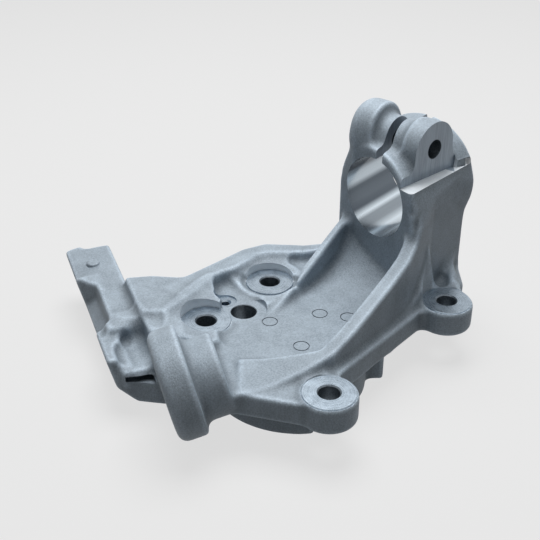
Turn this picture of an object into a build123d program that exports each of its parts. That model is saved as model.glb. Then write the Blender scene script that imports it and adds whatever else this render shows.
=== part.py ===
"""Front steering knuckle for the right side of a car, one aluminium casting.

Frame: the origin is on the hub axis in the plane of the hub seat. +Z is the hub axis and points to
the middle of the car, +X points up the car to the strut clamp, and +Y points along the car to the
steering arm's side. Lengths are in millimetres.
"""
from build123d import *
import math
import os

# Levels above the hub seat
SPOT_Z = 40.0            # turned spot faces of the hub bolts and the caliper lugs
FLOOR_Z = 38.0           # cast floor between the ribs
TERRACE_Z = 41.5         # cast floor around the upper hub bolt
FLANGE_Z = 22.0          # lower side of the plate and the lugs
RIM_Z = 49.0             # top of the rim wall
WEB_T = 12.0             # wall that closes the hub recess

# Hub interface
HUB_PCD_R = 58.7
HUB_ANGLES = (57.2, 122.8)       # bolts that pass through from the spot faces
BLIND_ANGLES = (-40.0, -140.0)   # tapped holes in the seat, under the caliper rib
BLIND_PCD_R = 47.0
BOLT_D = 13.0
BLIND_D = 10.2
BLIND_DEPTH = 24.0
SPOT_R = 16.25
SPOT_PROUD = 1.0
HUB_BOSS_R = 13.0
SEAT_R = 57.0
SEAT_NECK_R = 45.0       # seat radius where it clears the caliper
NECK_ANGLES = (-130.0, -51.0)
RECESS_R = 36.0
SENSOR_X = -6.2
SENSOR_Y = 39.7
SENSOR_D = 16.7
SCREW_X = -4.5
SCREW_Y = 57.5
SCREW_D = 5.5
SCREW_DEPTH = 12.0

# Brake caliper lugs
LUG_C_X = -40.8
LUG_D_X = 88.6
LUG_Y = -56.2
LUG_R = 17.6
LUG_HOLE_D = 13.0
LUG_FLARE = 28.0         # distance behind the rear lug where the plate's edge turns to the column
FLANGE_Y = -49.0         # cast edge between the lugs
WEB_RISE = 24.0          # thin web from the column to the rear lug
WEB_W = 6.0

# Strut clamp
BORE_D = 54.5
BORE_Y = 1.5
BORE_Z = 100.0
CLAMP_FRONT_R = 33.5     # outer radius at the front face
CLAMP_BACK_R = 41.0      # outer radius at the back face
CLAMP_FRONT_X = 82.0
CLAMP_BACK_X = 143.0
CLAMP_SKEW = 16.0        # degrees that the front face turns towards the caliper side
CLAMP_STOCK = 30.0       # stock in front of the face before it is cut
COLUMN_BACK_X = 139.0
COLUMN_LOW_Y = -35.0
COLUMN_HIGH_Y = 37.0
SLOT_Y = -1.0
SLOT_W = 6.0
PINCH_X = 106.5
PINCH_Z = 134.0
PINCH_D = 13.0
EAR_R = 18.5
NECK_R = 15.0
NECK_L = 12.0            # stepped-down length on each side of the slot
PAD_Y = -26.0            # milled face of the near ear
PAD_BACK_X = 125.5
FAR_EAR_Y = 31.0
FAR_EAR_LIFT = 3.0
FAR_EAR_R = 19.5
FAR_EAR_ROUND = 9.0
FAR_EAR_WALL = 9.0       # closes the blind end of the pinch bolt's hole
LEDGE_Z = 116.0
LEDGE_Y = -31.0          # flat side of the ring under the ledge

# Ribs and the ramp between them; each top is X and height
RIB_W = 10.5
CALIPER_RIB_Y = -44.5
CALIPER_RIB_TOP = ((-72.0, 39.0), (-39.0, 43.0), (-18.0, 49.0), (21.0, 62.0), (65.0, 81.0), (95.0, 108.0))
CENTRE_RIB_Y = 28.0
CENTRE_RIB_W = 6.0
CENTRE_RIB_TOP = ((0.0, 38.0), (29.0, 46.0), (58.0, 60.0), (92.0, 76.0))
RAMP_START_X = 34.0
RAMP_RISE = 34.0
RAMP_STEEPNESS = 4.0     # slope of the ramp where it meets the clamp
RAMP_BURIED = 10.0       # how far the ramp runs into the clamp

# Plan points, each X and Y
CALIPER_RIB_TOE = ((-74.0, -17.0), (-56.0, -27.0), (-40.0, -34.0))
CALIPER_RIB_HEEL = ((-42.0, -7.0), (-50.0, 4.0))
CALIPER_RIB_LINE = ((-19.0, 1.0), (0.0, 0.0), (60.0, 1.0), (96.0, 8.0))   # X and inset from the rib's Y
PLATE_TOE = (-74.0, -16.0)
TERRACE = ((4.0, 31.0), (13.0, 42.0), (13.0, 60.0), (18.0, 78.0), (60.0, 60.0), (85.0, 40.0), (85.0, 28.0))
RIM_OUTSIDE = ((75.0, 54.0), (58.0, 76.0), (42.0, 83.0), (8.0, 86.0), (-12.0, 88.0), (-24.0, 106.0))
RIM_INSIDE = (
    (-50.0, 68.0),
    (-30.0, 69.0),
    (-12.0, 71.0),
    (14.0, 77.0),
    (40.0, 75.0),
    (52.0, 64.0),
    (64.0, 48.0),
    (80.0, 38.0),
)
RIM_W = 8.0              # thickness of the rim wall at the clamp
RIM_ARM_START = 40.0     # where the rim wall joins the steering arm, measured along the arm
RIM_ARM_END = 84.0

# Ball joint barrel
BARREL_X = -80.7
BARREL_Y = 15.0
BARREL_Z = 38.3
BARREL_TURN = -34.7      # degrees that the axis turns from +X in plan
BARREL_RISE = 12.4       # degrees that the axis rises
BARREL_R = 34.0
BARREL_BACK = 18.0       # length of the large end
BARREL_ROUND = 6.0       # rounded rim of the large end
NOSE_R = 25.0
NOSE_DROP = 3.0
BARREL_FRONT = 19.0      # length of the small end
STUD_D = 20.0
STUD_DEPTH = 30.0

# Steering arm, in its own frame that runs along the arm
ARM_HEADING = 60.2       # degrees from +X
ARM_SIDE = -122.0        # outer flat side, measured across the arm
ARM_W = 32.0
ARM_START = 36.0
ARM_END = 152.0
ARM_TOP_Z = 42.0
ARM_T = 22.0
BLOCK_START = 8.0
BLOCK_W = 14.0
BLOCK_TOP_Z = 37.0
BLOCK_BOTTOM_Z = 12.0
LINK_START = -8.0
LINK_SIDE = -92.0        # where the link meets the barrel, measured across the arm
LINK_BURIED = 20.0       # how far the link runs into the barrel
LINK_TOP_Z = 26.0
LINK_T = 18.0
SCOOP_START = 44.0       # scooped length of the arm's outer edge
SCOOP_END = 102.0
SCOOP_W = 12.0
SCOOP_DEPTH = 16.0

OVERLAP = 2.0            # how far one piece of stock runs into the next
CUT = 1.0                # how far a cutter stands clear of the face it cuts


def prism(outline, bottom, top):
    """Extrudes a closed plan outline between two heights."""
    face = make_face(Polyline(*outline, close=True))
    return Pos(0, 0, bottom) * extrude(face, top - bottom)


def polar(radius, angle):
    """Plan position at a radius and an angle in degrees."""
    return radius * math.cos(math.radians(angle)), radius * math.sin(math.radians(angle))


def along_arm(across, along):
    """Plan position from distances across and along the steering arm."""
    c, s = math.cos(math.radians(ARM_HEADING)), math.sin(math.radians(ARM_HEADING))
    return along * c + across * s, along * s - across * c


def clamp_front_x(y):
    """X of the skewed front face at a given Y."""
    return CLAMP_FRONT_X + (y - BORE_Y) * math.tan(math.radians(CLAMP_SKEW))


def rod(x, y, bottom, top, radius):
    """Upright round solid between two heights."""
    return Pos(x, y, bottom) * Cylinder(radius, top - bottom, align=(Align.CENTER, Align.CENTER, Align.MIN))


def cross_rod(x, z, start_y, end_y, radius):
    """Round solid along Y."""
    turned = Rot(-90, 0, 0) * Cylinder(radius, end_y - start_y, align=(Align.CENTER, Align.CENTER, Align.MIN))
    return Pos(x, start_y, z) * turned


def under_curve(points, bottom, half_width, y):
    """Solid below a smooth curve over X, used to give a rib its sloping top."""
    first, last = points[0], points[-1]
    top = Spline(*points)
    sides = Polyline(last, (last[0], bottom), (first[0], bottom), first)
    face = make_face(Plane.XZ * (top + sides))
    return Pos(0, y, 0) * extrude(face, half_width, both=True)


def rim_outer():
    """Outer plan points of the rim wall, from the clamp round to the steering arm."""
    clamp_end = (clamp_front_x(COLUMN_HIGH_Y) + 2 * OVERLAP, COLUMN_HIGH_Y)
    return [clamp_end, *RIM_OUTSIDE, along_arm(ARM_SIDE + ARM_W - OVERLAP, RIM_ARM_END)]


def rim_inner():
    """Inner plan points of the rim wall, from the steering arm back to the clamp."""
    clamp_end = (clamp_front_x(COLUMN_HIGH_Y) + 2 * OVERLAP, COLUMN_HIGH_Y - RIM_W)
    return [along_arm(ARM_SIDE + ARM_W - OVERLAP, RIM_ARM_START), *RIM_INSIDE, clamp_end]


def plate():
    """Plate with its cast floor, rim wall, lugs and the raised terrace at the upper hub bolt."""
    outline = [
        PLATE_TOE,
        (LUG_C_X - LUG_R, LUG_Y + LUG_R / 3),
        (LUG_C_X, FLANGE_Y),
        (LUG_D_X, FLANGE_Y),
        (LUG_D_X + LUG_FLARE, FLANGE_Y - 2 * OVERLAP),
        (COLUMN_BACK_X, COLUMN_LOW_Y),
        (COLUMN_BACK_X, COLUMN_HIGH_Y),
        *rim_outer(),
        along_arm(LINK_SIDE, ARM_START),
        along_arm(LINK_SIDE, LINK_START - 2 * OVERLAP),
    ]
    solid = prism(outline, FLANGE_Z, FLOOR_Z)
    solid += prism([*rim_outer(), *rim_inner()], FLANGE_Z, RIM_Z)
    solid += prism(TERRACE, FLANGE_Z, TERRACE_Z)
    for x in (LUG_C_X, LUG_D_X):
        solid += rod(x, LUG_Y, FLANGE_Z, SPOT_Z - SPOT_PROUD, LUG_R)
        solid += rod(x, LUG_Y, FLANGE_Z, SPOT_Z, SPOT_R)
    return solid


def hub_seat():
    """Round seat under the plate with a boss for each hub bolt."""
    top = FLANGE_Z + OVERLAP
    first, last = NECK_ANGLES
    reach = 2 * SEAT_R
    sector = [(0, 0), polar(reach, first), polar(reach, (first + last) / 2), polar(reach, last)]
    solid = rod(0, 0, 0, top, SEAT_R) - prism(sector, -CUT, top + CUT)
    solid += rod(0, 0, 0, top, SEAT_NECK_R)
    for angle in HUB_ANGLES:
        solid += rod(*polar(HUB_PCD_R, angle), 0, top, HUB_BOSS_R)
        solid += rod(*polar(HUB_PCD_R, angle), FLANGE_Z, SPOT_Z, SPOT_R)
    return solid


def caliper_rib():
    """Rib beside the caliper lugs that climbs to the clamp."""
    outside = [(x, CALIPER_RIB_Y + inset) for x, inset in CALIPER_RIB_LINE]
    inside = [(x, y + RIB_W) for x, y in reversed(outside)]
    band = [*CALIPER_RIB_TOE, *outside, *inside, *CALIPER_RIB_HEEL]
    highest = CALIPER_RIB_TOP[-1][1]
    return prism(band, FLANGE_Z, highest) & under_curve(CALIPER_RIB_TOP, FLANGE_Z, highest, 0)


def centre_rib():
    """Thin rib from the terrace to the side of the bore."""
    return under_curve(CENTRE_RIB_TOP, FLANGE_Z, CENTRE_RIB_W / 2, CENTRE_RIB_Y)


def ramp():
    """Concave ramp between the two ribs, from the floor up to the clamp's front."""
    start = (RAMP_START_X, FLOOR_Z)
    end = (clamp_front_x(CENTRE_RIB_Y), FLOOR_Z + RAMP_RISE)
    back = end[0] + RAMP_BURIED
    curve = Spline(start, end, tangents=((1, 0), (1, RAMP_STEEPNESS)))
    sides = Polyline(end, (back, FLOOR_Z), (back, FLANGE_Z), (start[0], FLANGE_Z), start)
    face = make_face(Plane.XZ * (curve + sides))
    half = (CENTRE_RIB_Y - CALIPER_RIB_Y) / 2
    return Pos(0, CENTRE_RIB_Y - half, 0) * extrude(face, half, both=True)


def column_and_ring():
    """Column on the plate and the ring round the strut, both cut off by the skewed front face."""
    before = CLAMP_FRONT_X - CLAMP_STOCK
    length = CLAMP_BACK_X - before
    flare = (CLAMP_BACK_R - CLAMP_FRONT_R) / (CLAMP_BACK_X - CLAMP_FRONT_X)
    low, high = COLUMN_LOW_Y, COLUMN_HIGH_Y
    solid = prism([(before, low), (COLUMN_BACK_X, low), (COLUMN_BACK_X, high), (before, high)], FLANGE_Z, BORE_Z)
    cone = Cone(CLAMP_BACK_R - flare * length, CLAMP_BACK_R, length, align=(Align.CENTER, Align.CENTER, Align.MIN))
    solid += Pos(before, BORE_Y, BORE_Z) * Rot(0, 90, 0) * cone
    side = [(before, LEDGE_Y), (PAD_BACK_X, LEDGE_Y), (PAD_BACK_X, BORE_Y), (before, BORE_Y)]
    solid += prism(side, BORE_Z, LEDGE_Z)
    reach = 2 * CLAMP_BACK_R
    clear = before - reach
    front = [(clamp_front_x(-reach), -reach), (clamp_front_x(reach), reach), (clear, reach), (clear, -reach)]
    return solid - prism(front, 0, BORE_Z + reach)


def ear(near, far, radius, z=PINCH_Z):
    """Length of a pinch bolt ear with its foot on the ring."""
    under = (Align.CENTER, Align.MIN, Align.MAX)
    foot = Pos(PINCH_X, near, z) * Box(2 * radius, far - near, z - LEDGE_Z, align=under)
    return cross_rod(PINCH_X, z, near, far, radius) + foot


def clamp():
    """Strut clamp with the ears of the pinch bolt."""
    solid = column_and_ring()
    solid += ear(PAD_Y, SLOT_Y - NECK_L, EAR_R)
    solid += ear(SLOT_Y - NECK_L - OVERLAP, SLOT_Y + NECK_L + OVERLAP, NECK_R)
    far_z = PINCH_Z + FAR_EAR_LIFT
    solid += ear(SLOT_Y + NECK_L, FAR_EAR_Y - FAR_EAR_ROUND, FAR_EAR_R, far_z)
    dome = cross_rod(PINCH_X, far_z, SLOT_Y + NECK_L, FAR_EAR_Y, FAR_EAR_R)
    solid += fillet(dome.edges().group_by(Axis.Y)[-1], FAR_EAR_ROUND)
    return solid


def clamp_cuts():
    """Everything that is machined out of the clamp."""
    middle = (CLAMP_FRONT_X + CLAMP_BACK_X) / 2
    through = 3 * (CLAMP_BACK_X - CLAMP_FRONT_X)
    bore = Pos(middle, BORE_Y, BORE_Z) * Rot(0, 90, 0) * Cylinder(BORE_D / 2, through)
    upwards = (Align.CENTER, Align.CENTER, Align.MIN)
    slot = Pos(middle, SLOT_Y, BORE_Z) * Box(through, SLOT_W, through, align=upwards)
    pinch = cross_rod(PINCH_X, PINCH_Z, PAD_Y - CUT, FAR_EAR_Y - FAR_EAR_WALL, PINCH_D / 2)
    pad = Pos(PAD_BACK_X, PAD_Y, LEDGE_Z) * Box(through, through, through, align=(Align.MAX, Align.MAX, Align.MIN))
    return bore + slot + pinch + pad


def lug_web():
    """Thin web from the column down to the rear caliper lug."""
    low = (LUG_D_X + LUG_R - 2 * OVERLAP, LUG_Y + OVERLAP)
    high = (COLUMN_BACK_X - WEB_W / 2, COLUMN_LOW_Y + CUT)
    along = (high[0] - low[0], high[1] - low[1], 0)
    length = math.hypot(along[0], along[1])
    plane = Plane(origin=(*low, FLOOR_Z), x_dir=along, z_dir=(along[1], -along[0], 0))
    foot = -2 * OVERLAP
    face = make_face(Polyline((0, foot), (length, foot), (length, WEB_RISE), (0, 0), close=True))
    return extrude(plane * face, WEB_W / 2, both=True)


def barrel_axis():
    """Unit direction of the ball joint barrel, from its open end to its nose."""
    turn, rise = math.radians(BARREL_TURN), math.radians(BARREL_RISE)
    return math.cos(rise) * math.cos(turn), math.cos(rise) * math.sin(turn), math.sin(rise)


def barrel_plane():
    """Plane at the barrel's groove, with its normal along the barrel."""
    return Plane(origin=(BARREL_X, BARREL_Y, BARREL_Z), z_dir=barrel_axis())


def barrel():
    """Barrel of the lower ball joint, a large end and a smaller nose."""
    stock = Cylinder(BARREL_R, BARREL_BACK, align=(Align.CENTER, Align.CENTER, Align.MAX))
    large = fillet(stock.edges().group_by(Axis.Z)[0], BARREL_ROUND)
    nose = Cylinder(NOSE_R, BARREL_FRONT + OVERLAP, align=(Align.CENTER, Align.CENTER, Align.MIN))
    lowered = barrel_plane() * (Pos(0, 0, -OVERLAP) * nose)
    return barrel_plane() * large + Pos(0, 0, -NOSE_DROP) * lowered


def stud_bore():
    """Blind bore for the ball joint in the open end of the barrel."""
    bore = Cylinder(STUD_D / 2, STUD_DEPTH + CUT, align=(Align.CENTER, Align.CENTER, Align.MIN))
    return barrel_plane() * (Pos(0, 0, -BARREL_BACK - CUT) * bore)


def scoop():
    """Hollow along the arm's outer top edge."""
    clear = ARM_SIDE - CUT
    corners = (
        (clear, ARM_TOP_Z - SCOOP_DEPTH),
        (clear, ARM_TOP_Z + CUT),
        (ARM_SIDE + SCOOP_W, ARM_TOP_Z + CUT),
        (ARM_SIDE + SCOOP_W - OVERLAP, ARM_TOP_Z - SCOOP_DEPTH / 2),
    )
    start = along_arm(0, SCOOP_START)
    end = along_arm(0, SCOOP_END)
    across = along_arm(1, 0)
    plane = Plane(origin=(*start, 0), x_dir=(*across, 0), z_dir=(end[0] - start[0], end[1] - start[1], 0))
    up = plane.y_dir.Z
    face = make_face(Polyline(*((t, up * z) for t, z in corners), close=True))
    return extrude(plane * face, SCOOP_END - SCOOP_START)


def bar(low_side, high_side, start, end, bottom, top):
    """Straight bar along the steering arm."""
    outline = [along_arm(low_side, start), along_arm(high_side, start), along_arm(high_side, end)]
    return prism([*outline, along_arm(low_side, end)], bottom, top)


def arm():
    """Steering arm with the block and the link beside the barrel."""
    solid = bar(ARM_SIDE, ARM_SIDE + ARM_W, ARM_START, ARM_END, ARM_TOP_Z - ARM_T, ARM_TOP_Z)
    block_end = ARM_START + BLOCK_W
    solid += bar(ARM_SIDE, ARM_SIDE + BLOCK_W, BLOCK_START, block_end, BLOCK_BOTTOM_Z, BLOCK_TOP_Z)
    link_end = ARM_START + RIB_W
    link_side = ARM_SIDE + OVERLAP
    link = [
        along_arm(link_side, BLOCK_START),
        along_arm(LINK_SIDE, LINK_START),
        along_arm(LINK_SIDE + LINK_BURIED, LINK_START + BLOCK_START),
        along_arm(ARM_SIDE + ARM_W, link_end),
        along_arm(link_side, link_end),
    ]
    solid += prism(link, LINK_TOP_Z - LINK_T, LINK_TOP_Z)
    return solid - scoop()


def hub_cuts():
    """Recess, bolt holes and sensor hole at the hub seat and the caliper lugs."""
    under = -CUT
    over = BORE_Z - BORE_D / 2
    cuts = rod(0, 0, under, FLOOR_Z - WEB_T, RECESS_R)
    for angle in HUB_ANGLES:
        cuts += rod(*polar(HUB_PCD_R, angle), under, over, BOLT_D / 2)
        cuts += rod(*polar(HUB_PCD_R, angle), SPOT_Z, over, SPOT_R)
    for angle in BLIND_ANGLES:
        cuts += rod(*polar(BLIND_PCD_R, angle), under, BLIND_DEPTH, BLIND_D / 2)
    cuts += rod(SENSOR_X, SENSOR_Y, under, RIM_Z, SENSOR_D / 2)
    cuts += rod(SCREW_X, SCREW_Y, FLOOR_Z - SCREW_DEPTH, RIM_Z, SCREW_D / 2)
    for x in (LUG_C_X, LUG_D_X):
        cuts += rod(x, LUG_Y, under, RIM_Z, LUG_HOLE_D / 2)
        cuts += rod(x, LUG_Y, SPOT_Z, over, SPOT_R)
    return cuts


def knuckle():
    """The whole casting with its machined faces."""
    solid = plate() + hub_seat()
    solid += clamp()
    solid += ramp()
    solid += caliper_rib()
    solid += centre_rib()
    solid += barrel()
    solid += arm()
    solid += lug_web()
    solid -= clamp_cuts()
    solid -= hub_cuts()
    solid -= stud_bore()
    return solid


os.makedirs("parts", exist_ok=True)
part = knuckle()
export_step(part, "parts/knuckle.step")
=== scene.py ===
"""Blender scene of a cast aluminium steering knuckle, dressed around its CAD frame.

Lengths are in millimetres in the part's own frame: the origin is on the hub axis in the hub seat's
plane, +Z is the hub axis, +X runs up the car to the strut clamp, +Y runs to the steering arm. They
become metres when a mesh is made.
"""
import logging
import math
from collections.abc import Callable
from dataclasses import dataclass, field, replace
from enum import Enum

import bmesh
import bpy
import numpy as np
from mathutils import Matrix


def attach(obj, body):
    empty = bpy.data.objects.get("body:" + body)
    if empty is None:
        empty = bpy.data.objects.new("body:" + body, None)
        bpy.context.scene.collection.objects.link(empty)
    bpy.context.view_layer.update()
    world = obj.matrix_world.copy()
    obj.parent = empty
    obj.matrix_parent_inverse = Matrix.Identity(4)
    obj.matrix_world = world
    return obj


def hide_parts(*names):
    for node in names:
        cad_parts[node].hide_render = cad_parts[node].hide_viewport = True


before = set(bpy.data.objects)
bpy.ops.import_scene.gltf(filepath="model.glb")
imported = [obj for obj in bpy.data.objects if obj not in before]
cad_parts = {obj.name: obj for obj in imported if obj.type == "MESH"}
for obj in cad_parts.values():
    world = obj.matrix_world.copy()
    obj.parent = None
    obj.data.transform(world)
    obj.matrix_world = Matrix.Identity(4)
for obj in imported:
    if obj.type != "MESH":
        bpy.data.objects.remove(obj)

import openvdb
from mathutils import Matrix, Vector

logging.basicConfig(level=logging.INFO, format="%(message)s")
log = logging.getLogger("knuckle")

MM = 0.001
NODE = "knuckle"
PLUG = 1.5
Point = tuple[float, float, float]
Place = tuple[float, float]
Plan = tuple[Place, ...]
Box = tuple[Point, Point]
Grid = np.ndarray
Grids = tuple[Grid, Grid, Grid]
Shape = Callable[[Grids], Grid]
Socket = bpy.types.NodeSocket


class Axis(Enum):
    """Directions that a tool can point along."""

    X = (1.0, 0.0, 0.0)
    Y = (0.0, 1.0, 0.0)
    Z = (0.0, 0.0, 1.0)


class Cut(Enum):
    """What a tool does to the casting."""

    REMOVE = "DIFFERENCE"
    ADD = "UNION"


# Shapes as distance fields


def smooth_least(a: Grid, b: Grid, blend: float) -> Grid:
    """Smaller of two distances, with a fillet where they are nearly equal.

    The fillet takes off h squared times a quarter of the blend, where h falls from 1 where the
    two are equal to 0 where they differ by the blend.

    Args:
        a: First distance.
        b: Second distance.
        blend: Width of the fillet, 0 for a sharp corner.

    Returns:
        The joined distance.
    """
    if blend <= 0:
        return np.minimum(a, b)
    h = np.maximum(blend - np.abs(a - b), 0.0) / blend
    return np.minimum(a, b) - h * h * blend / 4


def rounded(across: Grid, over: Grid, edge: float) -> Grid:
    """Distance to a shape with two kinds of side, with a round edge between them.

    Inside both it is the larger of the two. Outside it is the length of the positive parts.

    Args:
        across: Distance beyond the first kind of side, set in by the edge's radius.
        over: Distance beyond the second kind, set in likewise.
        edge: Radius of the edge.

    Returns:
        The joined distance.
    """
    outside = np.hypot(np.maximum(across, 0.0), np.maximum(over, 0.0))
    return np.minimum(np.maximum(across, over), 0.0) + outside - edge


def rod_distance(xyz: Grids, start: Point, end: Point, radius: float,
                 end_radius: float | None = None, edge: float = 0.0) -> Grid:
    """Distance to a round bar or cone with flat ends.

    A point's place along the bar is its dot product with the bar's direction, and its distance from
    the axis is what remains. The two excesses over the half length and the radius join as on a
    rectangle with rounded corners.

    Args:
        xyz: X, Y and Z on the grid.
        start: Centre of the first end.
        end: Centre of the second end.
        radius: Radius at the first end.
        end_radius: Radius at the second end, the same as the first when left out.
        edge: Radius of the rounded rims.

    Returns:
        Signed distances on the grid.
    """
    x, y, z = xyz
    s, e = np.array(start), np.array(end)
    length = float(np.linalg.norm(e - s))
    d = (e - s) / length
    px, py, pz = x - s[0], y - s[1], z - s[2]
    along = px * d[0] + py * d[1] + pz * d[2]
    away = np.sqrt(np.maximum(px * px + py * py + pz * pz - along * along, 0.0))
    last = radius if end_radius is None else end_radius
    wall = radius + (last - radius) * np.clip(along / length, 0.0, 1.0)
    across = away - wall + edge
    return rounded(across, np.abs(along - length / 2) - length / 2 + edge, edge)


def box_distance(xyz: Grids, low: Point, high: Point, edge: float = 0.0) -> Grid:
    """Distance to an upright box with rounded edges.

    Args:
        xyz: X, Y and Z on the grid.
        low: Lowest corner.
        high: Highest corner.
        edge: Radius of the edges.

    Returns:
        Signed distances on the grid.
    """
    over = [np.abs(g - (a + b) / 2) - (b - a) / 2 + edge for g, a, b in zip(xyz, low, high)]
    square = sum(np.maximum(o, 0.0) ** 2 for o in over)
    most = np.maximum(np.maximum(over[0], over[1]), over[2])
    return np.minimum(most, 0.0) + np.sqrt(square) - edge


def plan_distance(x: Grid, y: Grid, points: Plan) -> Grid:
    """Distance to a closed outline in plan, negative inside.

    For each edge the nearest point is the start plus the edge times the clamped projection, and the
    sign turns at each edge that the point's level crosses to its right.

    Args:
        x: Grid of X.
        y: Grid of Y.
        points: Corners of the outline in order.

    Returns:
        Signed distances on the plan grid.
    """
    nearest = np.full(np.broadcast(x, y).shape, 1e9)
    inside = np.zeros(nearest.shape, bool)
    for (ax, ay), (bx, by) in zip(points, points[1:] + points[:1]):
        ex, ey = bx - ax, by - ay
        t = np.clip(((x - ax) * ex + (y - ay) * ey) / (ex * ex + ey * ey), 0.0, 1.0)
        nearest = np.minimum(nearest, np.hypot(x - ax - t * ex, y - ay - t * ey))
        crosses = (ay > y) != (by > y)
        slope = ex / ey if ey else 0.0
        inside ^= crosses & (x < ax + (y - ay) * slope)
    return np.where(inside, -nearest, nearest)


def slab_distance(xyz: Grids, points: Plan, bottom: float, top: float, edge: float = 0.0) -> Grid:
    """Distance to a flat slab with a plan outline and rounded edges.

    Args:
        xyz: X, Y and Z on the grid.
        points: Corners of the outline.
        bottom: Height of the underside.
        top: Height of the top.
        edge: Radius of the edges.

    Returns:
        Signed distances on the grid.
    """
    x, y, z = xyz
    across = plan_distance(x, y, points) + edge
    return rounded(across, np.abs(z - (bottom + top) / 2) - (top - bottom) / 2 + edge, edge)


def wall_distance(xyz: Grids, start: Point, end: Point, width: float,
                  bottom: float, edge: float = 0.0) -> Grid:
    """Distance to an upright wall whose top runs straight between two points.

    The distance across is the plan distance to the line less half the width, and the distance over
    is the height above the line's point beside it. They join as on a rounded rectangle.

    Args:
        xyz: X, Y and Z on the grid.
        start: Top of one end.
        end: Top of the other end.
        width: Thickness.
        bottom: Height of the foot.
        edge: Radius along the top.

    Returns:
        Signed distances on the grid.
    """
    x, y, z = xyz
    dx, dy, dz = (b - a for a, b in zip(start, end))
    t = np.clip(((x - start[0]) * dx + (y - start[1]) * dy) / (dx * dx + dy * dy), 0.0, 1.0)
    across = np.hypot(x - start[0] - t * dx, y - start[1] - t * dy) - width / 2 + edge
    return np.maximum(rounded(across, z - start[2] - t * dz + edge, edge), bottom - z)


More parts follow.
